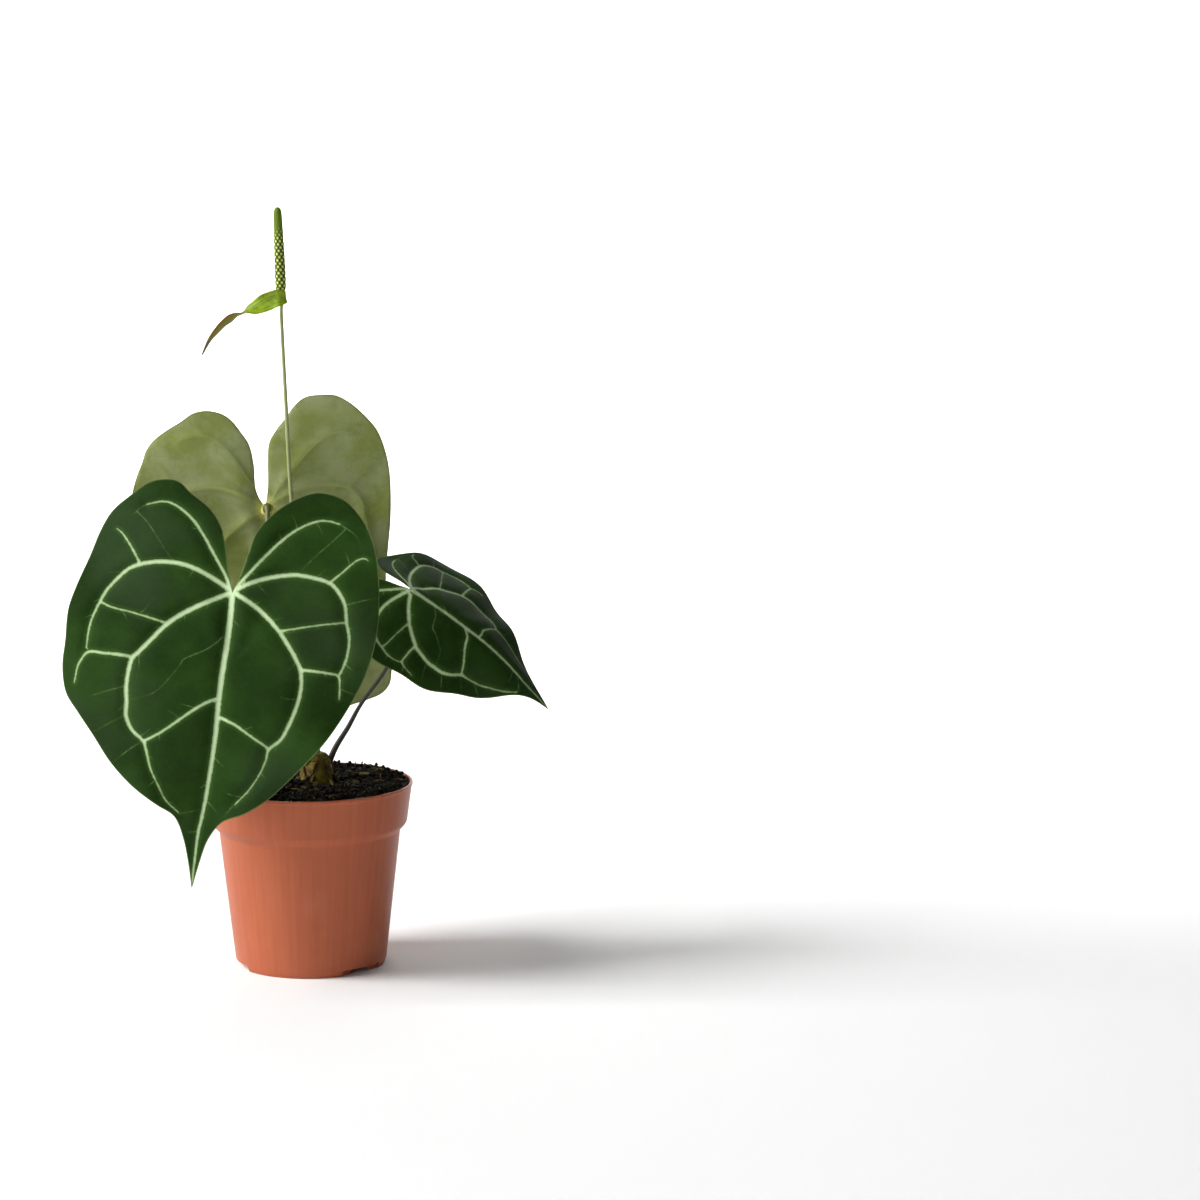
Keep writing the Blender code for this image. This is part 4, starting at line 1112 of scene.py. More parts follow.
@dataclass
class Stem:
    """The blunt stem with its leaf scars, its dry sheaths and the roots that go down into the mix."""

    x: float = 4.5 * MM
    y: float = 1 * MM
    foot: float = 80 * MM
    top: float = 124 * MM
    radius: float = 10.6 * MM
    steps: int = 64
    rows: int = 54
    narrowing: float = 0.33
    shoulder: float = 0.6
    crown: float = 0.92
    scars: int = 7
    mix_top: float = 106.5 * MM
    sheaths: tuple[tuple[float, float, float], ...] = (
        (200, 120, 15), (285, 100, 19), (30, 110, 12), (120, 120, 16),
    )
    sheath_wall: float = 0.3 * MM
    sheath_grid: tuple[int, int] = (14, 12)
    root_radii: tuple[float, ...] = (1.2, 1.1, 1.0, 0.9, 0.8)
    roots: tuple[float, ...] = (195, 238, 262, 318, 352, 60, 130)

    def radius_at(self, share: float) -> float:
        """The stem's radius at a share of its height."""
        narrow = 1 - self.narrowing * max(0.0, (share - self.shoulder) / (1 - self.shoulder)) ** 1.3
        crown = math.sqrt(max(0.02, 1 - max(0.0, (share - self.crown) / (1 - self.crown)) ** 2))
        return (self.radius - 0.9 * MM) * narrow * (0.5 + 0.5 * crown)

    def build_core(self) -> None:
        """Draws the stem ring by ring, roughens it and dresses it."""
        rings = [(self.x, self.y, 0.3 * MM, self.foot)]
        tall = self.top - self.foot
        for row in range(self.rows + 1):
            share = row / self.rows
            rings.append((self.x, self.y, self.radius_at(share), self.foot + tall * share))
        rings.append((self.x, self.y, 0.3 * MM, self.top - 0.2 * MM))
        stem = drawn_rings("dressed_stem", rings, self.steps)
        rows = places_of(stem)
        off = rows[:, :2] - (self.x, self.y)
        turn = np.arctan2(off[:, 1], off[:, 0])
        share = (rows[:, 2] - self.foot) / tall
        tilt = 0.35 * np.sin(turn + 4 * share)
        ring = (share * self.scars + 0.5 * tilt) % 1
        scar = np.exp(-(((ring - 0.5) / 0.09) ** 2))
        rough = np.array([grained(row, (1, 4), (0.6, 1.6)) for row in rows])
        swell = 0.35 * MM * np.sin(ring * math.pi) - 0.5 * MM * scar + 0.4 * MM * rough
        rows[:, :2] += off / np.maximum(np.hypot(*off.T), 1e-5)[:, None] * swell[:, None]
        put_places(stem, rows)
        mark(stem, "scar", 0.7 * scar)
        weld(stem)
        smooth(stem, ROUND_ANGLE)
        dress(stem, ["stem"], "stem", self.skin)

    def build_sheaths(self) -> None:
        """Dry sheaths that wrap the stem and end in a torn point."""
        for number, (middle, spread, tall) in enumerate(self.sheaths):
            sheath = grid(f"stem_sheath_{number}", *self.sheath_grid)
            flat = places_of(sheath)
            places = []
            for side, up, _ in flat:
                up = (up + 1) / 2
                turn = math.radians(middle + side * spread / 2 * (1 - 0.5 * up**2))
                ragged = 1 - 0.5 * abs(side) ** 1.6 + 0.12 * noise.noise(Vector((side * 4, number, 0.5)))
                z = self.mix_top - 4 * MM + up * (tall * ragged + 2) * MM
                share = min(1.0, (z - self.foot) / (self.top - self.foot))
                skin = self.radius_at(min(share, 0.9)) + (0.35 + 0.25 * number) * MM
                skin += 1.0 * MM * up**2 + 0.3 * MM * noise.noise(Vector((turn * 3, up * 3, number)))
                places.append((self.x + skin * math.cos(turn), self.y + skin * math.sin(turn), z))
            put_places(sheath, np.array(places))
            mark(sheath, "scar", 0.25 + 0.6 * np.abs(flat[:, 0]) ** 3 + 0.3 * np.clip(flat[:, 1], 0, 1) ** 2)
            thicken(sheath, self.sheath_wall)
            dress(sheath, ["stem"], "stem", self.skin)

    def build_roots(self) -> None:
        """Short brown roots that leave the stem just above the mix and go into it."""
        for number, angle in enumerate(self.roots):
            turn = math.radians(angle)
            out = Vector((math.cos(turn), math.sin(turn), 0))
            bend = Vector((-out.y, out.x, 0)) * 2.5 * math.sin(angle)
            middle = Vector((self.x, self.y, 0)) / MM
            high = self.mix_top / MM
            route = [
                middle + out * 7.5 + Vector((0, 0, high + 3.2 + number % 3)),
                middle + out * 10.5 + Vector((0, 0, high + 2.6 + number % 3)),
                middle + out * 13 + bend * 0.4 + Vector((0, 0, high + 0.8)),
                middle + out * 14.5 + bend + Vector((0, 0, high - 2.5)),
                middle + out * 15 + bend * 1.4 + Vector((0, 0, high - 6)),
            ]
            rows = smooth_line(np.column_stack([[tuple(p) for p in route], self.root_radii]))
            root = tube(f"stem_root_{number}", rows[:, :3] * MM, rows[:, 3] * MM, 12)
            mark(root, "scar", np.clip(places_of(root)[:, 2] / MM - high, 0, 3) / 9 + 0.3)
            smooth(root, ROUND_ANGLE)
            dress(root, ["stem"], "stem", self.skin)

    def build(self) -> None:
        """Makes and dresses the stem with its sheaths and roots."""
        self.skin = BarkFinish().material()
        self.build_core()
        self.build_sheaths()
        self.build_roots()


class Facing(Enum):
    """Which face of a blade looks to the front."""

    UPPER = 1
    UNDER = -1


@dataclass(frozen=True)
class Vein:
    """One vein: its flat line, and its full widths in millimetres at shares along it."""

    line: np.ndarray
    widths: Sequence[Point]

    def half_at(self, share: np.ndarray) -> np.ndarray:
        """Half its width at shares along it."""
        places, widths = zip(*self.widths)
        return np.interp(share, places, widths) / 2


@dataclass
class Form:
    """The numbers that lift a flat blade into its form."""

    slope: float
    droop: float
    lobe_curl: float
    fold: float
    roll: float
    ripple: float
    waves: float
    phase: float
    groove: float


def whole_edge(left: Sequence[Point], right: Sequence[Point]) -> np.ndarray:
    """The closed outline of two sides."""
    return np.vstack([smooth_line(left), smooth_line(right)[-2:0:-1]])


def open_edges(faces: np.ndarray) -> list[tuple[int, int]]:
    """The edges that only one triangle has, in that triangle's direction."""
    pairs = np.vstack([faces[:, [0, 1]], faces[:, [1, 2]], faces[:, [2, 0]]])
    keys = {(int(a), int(b)) for a, b in pairs}
    return [(a, b) for a, b in keys if (b, a) not in keys]


def outwards(flat: np.ndarray, border: Sequence[tuple[int, int]], rim_points: Sequence[int]) -> np.ndarray:
    """The flat way out of a blade at each point of its rim.

    Args:
        flat: All flat points.
        border: The open edges.
        rim_points: The points on them.

    Returns:
        Rows one long, across the rim.
    """
    ahead, behind = dict(border), {b: a for a, b in border}
    out = np.array([flat[ahead[p]] - flat[behind[p]] for p in rim_points])
    length = np.maximum(np.linalg.norm(out, axis=1), 1e-9)[:, None]
    out = np.column_stack([out[:, 1], -out[:, 0]]) / length
    return -out if (out * (flat[rim_points] - flat.mean(0))).sum() < 0 else out


# How close the points of a sheet stand, as shares of its spacing.
VEIN_CLEAR = 0.45
GRID_CLEAR = 0.62
ROW_GAP = 0.87

FRONT_EDGE = whole_edge(FRONT_LEFT, FRONT_RIGHT)
FRONT_LENGTH = -FRONT_LEFT[-1][1]
NOTCH_SIDES = 25


@dataclass
class Blade:
    """One leaf blade, as a thin closed sheet with its veins."""

    name: str
    joint: tuple[float, float, float]
    along: float
    tilt: float
    facing: Facing
    left_side: Sequence[Point]
    right_side: Sequence[Point]
    form: Form
    spacing: float = 1.5
    thickness: float = 0.6
    rim_thickness: float = 0.34
    rim_bulge: float = 0.12
    groove_reach: float = 4.5
    fold_round: float = 6
    ripple_reach: float = 14
    joint_fade: float = 12
    rim_fade: float = 10
    hub: float = 2.6
    rim_soft: float = 1.6
    thread_fade: float = 0.35
    stub_start: float = 14
    stub_gaps: Point = (9, 14)
    stub_lengths: Point = (2.6, 8)
    stub_turns: Point = (0.7, 0.6)
    stub_curl: float = 0.9
    stub_pieces: int = 4
    vein_sink: float = 0.32
    vein_slope: float = 0.9
    rib_height: float = 0.45
    seed: int = 3

    def __post_init__(self) -> None:
        """Works out the axes, the outline and the veins."""
        turn = math.radians(self.along)
        self.up = SIDE * math.sin(turn) + UP * math.cos(turn)
        self.across = (SIDE * math.cos(turn) - UP * math.sin(turn)) * self.facing.value
        self.face = self.across.cross(self.up)
        lean = Matrix.Rotation(math.radians(self.tilt), 3, self.up)
        self.across, self.face = lean @ self.across, lean @ self.face
        self.left, self.right = smooth_line(self.left_side), smooth_line(self.right_side)
        self.edge = whole_edge(self.left_side, self.right_side)
        self.length = -self.left[-1][1]
        self.half_width = max(-self.left[:, 0].min(), self.right[:, 0].max())
        size = math.sqrt(self.length / 165.5)
        main = [(MIDRIB_WIDTHS, MIDRIB), *MAIN_VEINS]
        self.veins = []
        for widths, line in [*main, *LINK_VEINS]:
            scaled = [(share, width * size) for share, width in widths]
            self.veins.append(Vein(self.carried(smooth_line(line), NOTCH_SIDES), scaled))
        self.main = [self.carried(smooth_line(line)) for _, line in main]
        self.threads = [self.carried(smooth_line(line), NOTCH_SIDES) for line in FINE_VEINS]
        self.threads += self.stubs()

    def carried(self, line: np.ndarray, beyond: float = 0.0) -> np.ndarray:
        """The front blade's line, scaled along each ray from the joint to this blade's outline.

        Args:
            line: A line on the front blade.
            beyond: How far out the outlines begin to count, so that the notch's sides can be left out.

        Returns:
            The line on this blade.
        """
        turn = self.facing.value
        front_tip = bearing(np.array(FRONT_LEFT[-1]) * (turn, 1))
        tip = bearing(self.left[-1])
        turned_to = bearing(line * (turn, 1))
        swung = np.interp(turned_to, (-math.pi, front_tip, math.pi), (-math.pi, tip, math.pi))
        own = self.edge[np.hypot(*self.edge.T) >= beyond * self.length / FRONT_LENGTH]
        front = FRONT_EDGE[np.hypot(*FRONT_EDGE.T) >= beyond]
        far = np.hypot(*line.T) * reach(own, swung) / reach(front, bearing(line))
        return np.column_stack([np.sin(swung), -np.cos(swung)]) * far[:, None]

    def stubs(self) -> list[np.ndarray]:
        """Short veinlets that leave the main veins and fade into the blade."""
        draw = np.random.default_rng(self.seed)
        made = []
        for vein in self.veins:
            points = spaced(vein.line, 1.0)
            place = self.stub_start
            while place < len(points) - 4:
                here = points[int(place)]
                ahead = points[min(int(place) + 2, len(points) - 1)] - points[int(place) - 2]
                swing = draw.choice((-1, 1)) * (self.stub_turns[0] + self.stub_turns[1] * draw.random())
                turn = math.atan2(ahead[1], ahead[0]) + swing
                long = self.stub_lengths[0] + self.stub_lengths[1] * draw.random() ** 2
                curl = (draw.random() - 0.5) * self.stub_curl
                row = [here]
                for _ in range(self.stub_pieces):
                    turn += curl / self.stub_pieces
                    way = np.array([math.cos(turn), math.sin(turn)])
                    row.append(row[-1] + way * long / self.stub_pieces)
                made.append(np.array(row))
                place += self.stub_gaps[0] + self.stub_gaps[1] * draw.random()
        return made

    def depth(self, points: np.ndarray) -> np.ndarray:
        """Height over the flat layout, towards the upper face, in millimetres.

        Args:
            points: Points across and up the blade.

        Returns:
            The height at each.
        """
        u, v = points[:, 0], points[:, 1]
        form = self.form
        along = -v / self.length
        lean = form.slope * along - np.where(along > 0, form.droop, form.lobe_curl) * along**2
        middle = u - np.interp(-v, -self.main[0][:, 1], self.main[0][:, 0])
        bent = np.sqrt(middle**2 + self.fold_round**2) - self.fold_round
        cross = form.fold * bent - form.roll * middle**2 / self.half_width
        near = to_line(points, self.edge)[0]
        around = bearing(points + (0, self.length / 4))
        wave = form.ripple * np.exp(-near / self.ripple_reach) * np.sin(form.waves * around + form.phase)
        away = np.min([to_line(points, line)[0] for line in self.main], axis=0)
        fade = np.clip(np.hypot(u, v) / self.joint_fade, 0, 1) * np.clip(near / self.rim_fade, 0, 1)
        groove = form.groove * np.exp(-(away / self.groove_reach) ** 2) * fade
        return self.length * lean + cross + wave - groove

    def place(self, points: np.ndarray, lift: np.ndarray | float = 0.0) -> np.ndarray:
        """Points across and up the blade as places in metres, lifted by so many millimetres."""
        heights = self.depth(points) + lift
        axes = np.array([self.across, self.up, self.face])
        return (np.array(self.joint) + np.column_stack([points, heights]) @ axes) * MM

    def layout(self) -> tuple[np.ndarray, np.ndarray]:
        """Points of the sheet and the triangles between them.

        Returns:
            The flat points, and the rows of corners.
        """
        step = self.spacing
        ring = np.vstack([spaced(self.left, step)[:-1], spaced(self.right, step)[::-1][:-1]])
        kept = [ring]
        edges = [(i, (i + 1) % len(ring)) for i in range(len(ring))]
        count = len(ring)
        for line in [vein.line for vein in self.veins] + self.threads:
            points = spaced(line, step)
            have = np.vstack(kept)
            clear = np.linalg.norm(points[:, None] - have[None], axis=2).min(1) > step * VEIN_CLEAR
            clear &= inside(points, ring)
            last = None
            for number, point in enumerate(points):
                if not clear[number]:
                    last = None
                    continue
                kept.append(point[None])
                if last is not None:
                    edges.append((last, count))
                last = count
                count += 1
        have = np.vstack(kept)
        low, high = ring.min(0), ring.max(0)
        rows = []
        for row, v in enumerate(np.arange(low[1], high[1], step * ROW_GAP)):
            across = np.arange(low[0] + (row % 2) * step / 2, high[0], step)
            rows.append(np.column_stack([across, np.full(len(across), v)]))
        grid = np.vstack(rows)
        grid = grid[inside(grid, ring)]
        clear = np.concatenate([
            np.linalg.norm(part[:, None] - have[None], axis=2).min(1) > step * GRID_CLEAR
            for part in np.array_split(grid, max(1, len(grid) // 1500))
        ])
        points = np.vstack([have, grid[clear]])
        flat, _, faces, *_ = geometry.delaunay_2d_cdt([Vector(p) for p in points], edges, [], 1, 1e-6)
        return np.array([tuple(p) for p in flat]), np.array([list(face) for face in faces])

    def measures(self, points: np.ndarray) -> dict[str, np.ndarray]:
        """Distances in millimetres that the relief and the finish use.

        Args:
            points: Flat points.

        Returns:
            Distance past the nearest vein's edge, to the nearest fine vein, to the rim and to the joint, and
            the height of the rib below.
        """
        edge = np.full(len(points), FAR)
        rib = np.zeros(len(points))
        for vein in self.veins:
            gap, share = to_line(points, vein.line)
            half = vein.half_at(share)
            edge = np.minimum(edge, gap - half)
            rib = np.maximum(rib, half * np.exp(-((gap / (half + 0.4)) ** 2)))
        fine = np.full(len(points), FAR)
        for line in self.threads:
            gap, share = to_line(points, line)
            fine = np.minimum(fine, gap + self.thread_fade * share**2)
        joint = np.hypot(*points.T)
        edge = np.minimum(edge, joint - self.hub)
        rim = to_line(points, np.vstack([self.edge, self.edge[:1]]))[0]
        return {"vein_edge": edge, "fine_edge": fine, "rim": rim, "joint": joint, "rib": rib}

    def turned_up(self, top: np.ndarray, faces: np.ndarray) -> tuple[np.ndarray, np.ndarray]:
        """Turns the triangles to the upper face.

        Args:
            top: The upper face's places.
            faces: Its triangles.

        Returns:
            The triangles in the right order, and each point's normal.
        """
        corners = top[faces]
        tilts = np.cross(corners[:, 1] - corners[:, 0], corners[:, 2] - corners[:, 0])
        if (tilts @ np.array(self.face)).sum() < 0:
            faces, tilts = faces[:, ::-1], -tilts
        normals = np.zeros_like(top)
        for corner in range(3):
            np.add.at(normals, faces[:, corner], tilts)
        return faces, normals / np.maximum(np.linalg.norm(normals, axis=1), 1e-12)[:, None]

    def build(self, upper: bpy.types.Material, under: bpy.types.Material) -> None:
        """Makes the sheet: upper face, lower face with raised ribs, and a rounded rim between.

        Args:
            upper: The upper face's material.
            under: The lower face's material.
        """
        flat, faces = self.layout()
        facts = self.measures(flat)
        past = np.maximum(facts["vein_edge"], 0)
        sunk = -self.vein_sink * np.exp(-((past / self.vein_slope) ** 2)) * np.clip(facts["rim"] / 4, 0, 1)
        top = self.place(flat, sunk)
        faces, normals = self.turned_up(top, faces)
        thin = np.clip(facts["rim"] / self.rim_soft, 0, 1)
        thick = self.rim_thickness + (self.thickness - self.rim_thickness) * thin
        fade = np.clip(facts["joint"] / 3, 0, 1) * np.clip(facts["rim"] / 5, 0, 1)
        rib = self.rib_height * facts["rib"] * fade
        bottom = top - normals * ((thick + rib) * MM)[:, None]
        count = len(flat)
        border = open_edges(faces)
        rim_points = sorted({a for a, _ in border})
        number = {point: 2 * count + i for i, point in enumerate(rim_points)}
        push = outwards(flat, border, rim_points) @ np.array([self.across, self.up]) * self.rim_bulge * MM
        middle = (top[rim_points] + bottom[rim_points]) / 2 + push
        sides = []
        for a, b in border:
            sides.append((b, a, number[a], number[b]))
            sides.append((number[b], number[a], a + count, b + count))
        whole = [tuple(f) for f in faces] + [tuple(c + count for c in f[::-1]) for f in faces] + sides
        leaf = mesh_object(f"dressed_{self.name}", np.vstack([top, bottom, middle]), whole)
        for name in ("vein_edge", "fine_edge", "rim", "joint"):
            mark(leaf, name, np.concatenate([facts[name], facts[name], facts[name][rim_points]]))
        leaf.data.materials.append(upper)
        leaf.data.materials.append(under)
        slots = [0] * len(faces) + [1] * len(faces) + [0, 1] * len(border)
        leaf.data.polygons.foreach_set("material_index", slots)
        smooth(leaf, 50)
        dress(leaf, [self.name], "leaf")

    def stalk_end(self) -> tuple[Vector, Vector]:
        """Where the stalk meets the underside, in millimetres, and the way into the blade."""
        spots = self.place(np.array([(0.0, -1.6), (3.0, -3.6), (0.0, -5.6)])) / MM
        here, right, above = (Vector(row) for row in spots)
        normal = (right - here).cross(here - above).normalized()
        if normal.dot(self.face) < 0:
            normal = -normal
        return here - normal * (self.thickness + 0.1), normal


@dataclass
class Stalk:
    """One leaf's stalk, from its foot in the stem to the swollen joint below the blade."""

    name: str
    bends: Sequence
    blade: Blade
    finish: StalkFinish
    foot: float = 2.1
    neck: float = 1.5
    slim: float = 1.25
    end_radii: Point = (1.35, 1.2)
    knob: float = 2.1
    knob_flat: float = 2.6
    knob_taper: float = 4.4
    lead: float = 7
    steps: int = 14

    def build(self) -> None:
        """Bends the stalk along its route and dresses it."""
        end, inwards = self.blade.stalk_end()
        lead = end - inwards * self.lead
        route = [*self.bends, tuple(lead), tuple(end)]
        slim = [self.slim] * (len(route) - 5)
        radii = [self.foot, self.foot * 0.85, self.neck, *slim, *self.end_radii]
        rows = smooth_line(np.column_stack([route, radii]), self.steps)
        places, radii = rows[:, :3], rows[:, 3].copy()
        left = np.linalg.norm(places - np.array(end), axis=1)
        past = np.maximum(left - self.knob_flat, 0)
        radii = np.maximum(radii, self.knob * np.exp(-((past / self.knob_taper) ** 2)))
        rod = tube(f"dressed_{self.name}", places * MM, radii * MM)
        smooth(rod, ROUND_ANGLE)
        dress(rod, [self.name], "stalk", self.finish.material())


@dataclass
class Flower:
    """The flower spike: its stalk, the spathe and the spadix. Plain numbers are millimetres."""

    foot: tuple[float, float, float] = (-12.1, -10, 391.4)
    top: tuple[float, float, float] = (-13.6, -10, 439.4)
    radius: float = 3.3
    narrowing: float = 0.32
    relief: float = 0.08
    plain_from: float = 0.6
    lean: float = 0.04
    bead: float = 1.3
    dot: float = 0.8
    spathe_wall: float = 0.55 * MM
    spathe_columns: int = 18
    stalk_radii: tuple[float, ...] = (1.6, 1.4, 1.25, 1.15, 1.1, 1.05, 1.15, 2.0, 1.95)
    node_below: tuple[float, ...] = (7, 3.4, 0.1)
    stalk_steps: int = 14
    around: int = 112
    rows: int = 260
    columns: int = 7
    pitch: float = 1.8
    widths: tuple[float, ...] = (4.6, 7.4, 9.4, 10.3, 10.4, 9.6, 8.2, 7, 6.6, 5.8, 4.4, 2.8, 0.8)
    twists: tuple[float, ...] = (80, 80, 76, 74, 72, 56, 30, -8, -38, -52, -56, -58, -58)
    cups: tuple[float, ...] = (0, 0.2, 0.6, 1, 1.1, 1, 0.8, 0.6, 0.5, 0.5, 0.4, 0.2, 0.1)

    def build_stalk(self, finish: StalkFinish) -> None:
        """The tall thin stalk, swollen where the spike stands on it."""
        foot, top = Vector(self.foot), Vector(self.top)
        lead = (top - foot).normalized()
        node = [tuple(foot - lead * below) for below in self.node_below]
        rows = smooth_line(np.column_stack([[*FLOWER_STALK, *node], self.stalk_radii]), self.stalk_steps)
        rod = tube("dressed_flower_stalk", rows[:, :3] * MM, rows[:, 3] * MM)
        smooth(rod, ROUND_ANGLE)
        dress(rod, ["flower_stalk"], "stalk", finish.material())

    def build_spadix(self) -> None:
        """The spike with its florets in staggered rows, each with its dot on the lower part."""
        foot, axis = Vector(self.foot), Vector(self.top) - Vector(self.foot)
        deselect()
        bpy.ops.mesh.primitive_uv_sphere_add(segments=self.around, ring_count=self.rows, radius=1)
        spike = bpy.context.object
        spike.name = "dressed_spadix"
        rows = places_of(spike)
        share = np.arccos(np.clip(-rows[:, 2], -1, 1)) / math.pi
        angle = np.arctan2(rows[:, 1], rows[:, 0])
        low = np.minimum(1, share / 0.05)
        high = np.maximum(0, share - 0.93) / 0.07
        ends = np.sqrt(np.maximum(0, 1 - (1 - low) ** 2)) * np.sqrt(np.maximum(0, 1 - high**2))
        taper = (1 - self.narrowing * share**1.8) * (0.9 + 0.1 * np.minimum(1, share / 0.2))
        height = share * axis.length
        across = angle / (2 * math.pi) * self.columns + self.lean * height / self.pitch
        between = 2 * math.pi * self.radius / self.columns
        up = height / self.pitch
        row = np.floor(up)
        gap = np.full(len(rows), 9.0)
        for step in (0, 1):
            shift = ((row + step) % 2) * 0.5
            side = (across - shift + 0.5) % 1 - 0.5
            gap = np.minimum(gap, np.hypot(side * between, (up - row - step) * self.pitch))
        plain = np.clip((share - self.plain_from) / 0.25, 0, 1)
        dome = np.clip(1 - (gap / self.bead) ** 2, 0, 1) ** 0.7
        dome = dome + (1 - dome) * 0.7 * plain
        wide = self.radius * taper * ends * (1 - self.relief + self.relief * dome)
        local = np.column_stack([wide * np.cos(angle), wide * np.sin(angle), height])
        swing = np.array(axis.to_track_quat("Z", "Y").to_matrix())
        put_places(spike, (local @ swing.T + np.array(foot)) * MM)
        mark(spike, "dome", dome)
        mark(spike, "dot", np.clip(1 - gap / self.dot, 0, 1) ** 0.5 * (1 - plain))
        smooth(spike, ROUND_ANGLE)
        dress(spike, ["spadix"], "spadix", FloretFinish().material())

    def build_spathe(self) -> None:
        """The narrow twisted spathe as a thin strap with rounded edges."""
        rows = smooth_line(np.column_stack([SPATHE_SPINE, self.widths, self.twists, self.cups]), 12)
        last = len(rows) - 1
        strap = grid("dressed_spathe", self.spathe_columns, last)
        flat = places_of(strap)
        places = []
        for side, up, _ in flat:
            row = round((up + 1) / 2 * last)
            run = Vector(rows[min(row + 1, last)][:3]) - Vector(rows[max(row - 1, 0)][:3])
            run.normalize()
            level = run.cross(Vector((0, 0, 1))).normalized()
            over = level.cross(run).normalized()
            width, twist, cup = rows[row][3:]
            turn = math.radians(twist)
            across = level * math.cos(turn) + over * math.sin(turn)
            raised = over * math.cos(turn) - level * math.sin(turn)
            crease = -0.35 * math.exp(-((side / 0.12) ** 2)) * min(1, width / 6)
            ruffle = 0.25 * math.sin(up * 21 + (2 if side > 0 else 0)) * abs(side) ** 3 * min(1, width / 8)
            above = cup * side**2 + crease + ruffle
            here = Vector(rows[row][:3]) + across * side * width / 2 + raised * above
            places.append(tuple(here * MM))
        put_places(strap, np.array(places))
        mark(strap, "along", (flat[:, 1] + 1) / 2)
        mark(strap, "side", np.abs(flat[:, 0]))
        thicken(strap, self.spathe_wall)
        dress(strap, ["spathe"], "spathe", SpatheFinish().material())

    def build(self, finish: StalkFinish) -> None:
        """Makes and dresses the stalk, the spadix and the spathe."""
        self.build_stalk(finish)
        self.build_spadix()
        self.build_spathe()


@dataclass(frozen=True)
class Lamp:
    """A soft square lamp: where it hangs, its side, its power in watts and what it looks at."""

    name: str
    place: tuple[float, float, float]
    size: float
    power: float
    target: tuple[float, float, float] = (0, 0, 0.22)

    def build(self) -> None:
        """Hangs the lamp and aims it."""
        data = bpy.data.lights.new(self.name, "AREA")
        data.size = self.size
        data.energy = self.power
        lamp = bpy.data.objects.new(self.name, data)
        lamp.location = self.place
        aim = Vector(self.target) - Vector(self.place)
        lamp.rotation_euler = aim.to_track_quat("-Z", "Y").to_euler()
        bpy.context.scene.collection.objects.link(lamp)


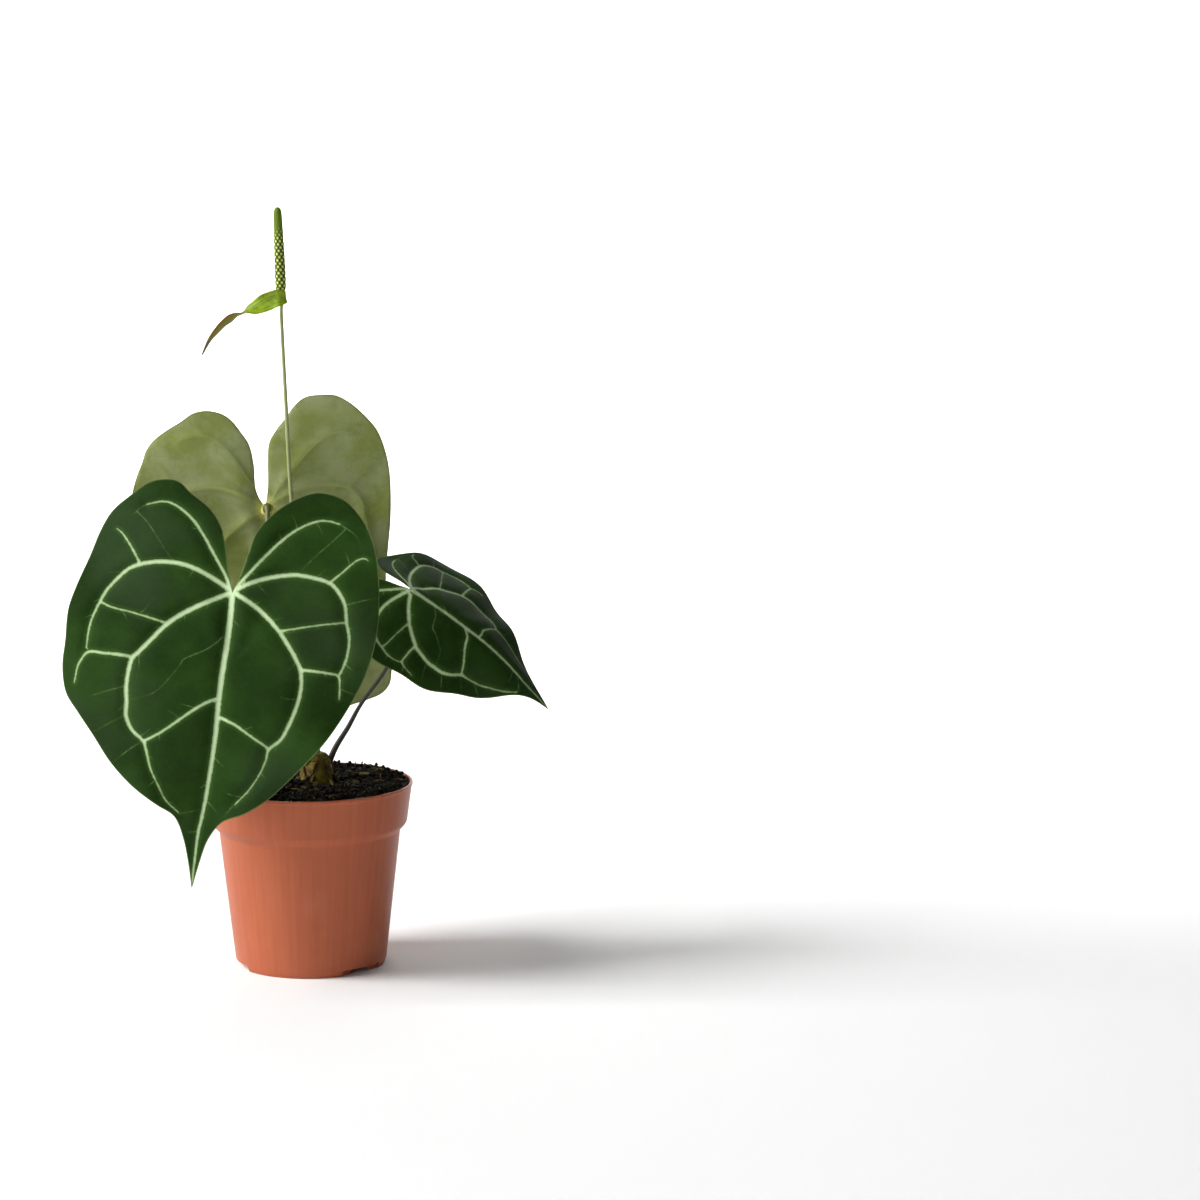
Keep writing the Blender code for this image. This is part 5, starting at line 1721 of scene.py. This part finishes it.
@dataclass
class Studio:
    """The plain pale floor, the soft light and the camera."""

    width: float = 9.0
    front: float = -4.0
    bend_start: float = 1.8
    bend_radius: float = 1.4
    height: float = 2.4
    camera_place: tuple[float, float, float] = (0.1686, -2.2, 0.548)
    lens: float = 115.9
    glow: float = 0.045
    lamps: tuple[Lamp, ...] = (
        Lamp("key_light", (-3.4, -0.8, 2.8), 2.2, 300),
        Lamp("front_light", (-1.0, -2.8, 0.8), 1.4, 22),
        Lamp("backdrop_light", (0.5, 1.6, 2.2), 3.0, 160, (0.5, 3.2, 1.0)),
    )

    def build_floor(self) -> None:
        """A floor that bends up into the backdrop."""
        rows = [(self.front, 0.0), (self.bend_start, 0.0)]
        for turn in np.linspace(0, math.pi / 2, 25)[1:]:
            forward, raised = math.sin(turn), 1 - math.cos(turn)
            rows.append((self.bend_start + self.bend_radius * forward, self.bend_radius * raised))
        rows.append((self.bend_start + self.bend_radius, self.height))
        places = [(x, y, z) for y, z in rows for x in (-self.width / 2, self.width / 2)]
        faces = [(2 * i, 2 * i + 1, 2 * i + 3, 2 * i + 2) for i in range(len(rows) - 1)]
        floor = mesh_object("studio_floor", np.array(places), faces)
        smooth(floor, ROUND_ANGLE)
        floor.data.materials.append(FloorFinish().material())

    def build_camera(self) -> None:
        """The camera of the photograph's view."""
        data = bpy.data.cameras.new("camera")
        data.lens = self.lens
        data.sensor_width = 36
        data.clip_start = 0.05
        data.clip_end = 60
        camera = bpy.data.objects.new("camera", data)
        camera.location = self.camera_place
        camera.rotation_euler = (math.pi / 2 - LOOK_DOWN, 0, 0)
        bpy.context.scene.collection.objects.link(camera)
        bpy.context.scene.camera = camera

    def build(self) -> None:
        """Sets up the whole studio."""
        self.build_floor()
        self.build_camera()
        for lamp in self.lamps:
            lamp.build()
        world = bpy.data.worlds.new("studio")
        world.use_nodes = True
        sky = world.node_tree.nodes["Background"]
        sky.inputs["Color"].default_value = (1, 1, 1, 1)
        sky.inputs["Strength"].default_value = self.glow
        bpy.context.scene.world = world
        bpy.context.scene.view_settings.view_transform = "Standard"


def main() -> None:
    """Builds every piece in order."""
    logging.basicConfig(level=logging.INFO, format="%(name)s: %(message)s")
    pot = Pot()
    pot.build()
    PottingMix(pot).build()
    Stem().build()
    upper, under = VelvetFinish().material(), UndersideFinish().material()
    front = Blade("leaf_front", (-37.1, -62, 227.3), along=0, tilt=0, facing=Facing.UPPER,
                  left_side=FRONT_LEFT, right_side=FRONT_RIGHT,
                  form=Form(slope=0.24, droop=0.2, lobe_curl=0.42, fold=0.1, roll=0.17, ripple=2.2, waves=9,
                            phase=0.6, groove=1.3))
    back = Blade("leaf_back", (-26.2, 30, 263.4), along=0, tilt=0, facing=Facing.UNDER,
                 left_side=BACK_LEFT, right_side=BACK_RIGHT, seed=5,
                 form=Form(slope=0.42, droop=0.2, lobe_curl=0.1, fold=0.12, roll=0.06, ripple=2.4, waves=8,
                           phase=1.4, groove=1.1))
    side = Blade("leaf_side", (60, -9, 220.2), along=-55, tilt=44, facing=Facing.UPPER,
                 left_side=SIDE_LEFT, right_side=SIDE_RIGHT, spacing=1.2, seed=8,
                 form=Form(slope=0.12, droop=0.3, lobe_curl=0.5, fold=-0.4, roll=0.05, ripple=1.5, waves=8,
                           phase=2.2, groove=0.9))
    for blade in (front, back, side):
        blade.build(upper, under)
    dark = StalkFinish("stalk_dark", foot=srgb(40, 31, 16), middle=srgb(50, 48, 38), knob=srgb(108, 110, 52))
    olive = StalkFinish("stalk_olive", foot=srgb(92, 80, 32), middle=srgb(104, 108, 58),
                        knob=srgb(226, 222, 134))
    Stalk("stalk_front", FRONT_STALK, front, olive).build()
    Stalk("stalk_back", BACK_STALK, back, olive, knob=3.1).build()
    Stalk("stalk_side", SIDE_STALK, side, dark).build()
    thin = StalkFinish("stalk_flower", foot=srgb(116, 110, 56), middle=srgb(142, 152, 98),
                       knob=srgb(140, 160, 70), knob_start=0.93)
    Flower().build(thin)
    Studio().build()
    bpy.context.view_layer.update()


if __name__ == "__main__":
    main()
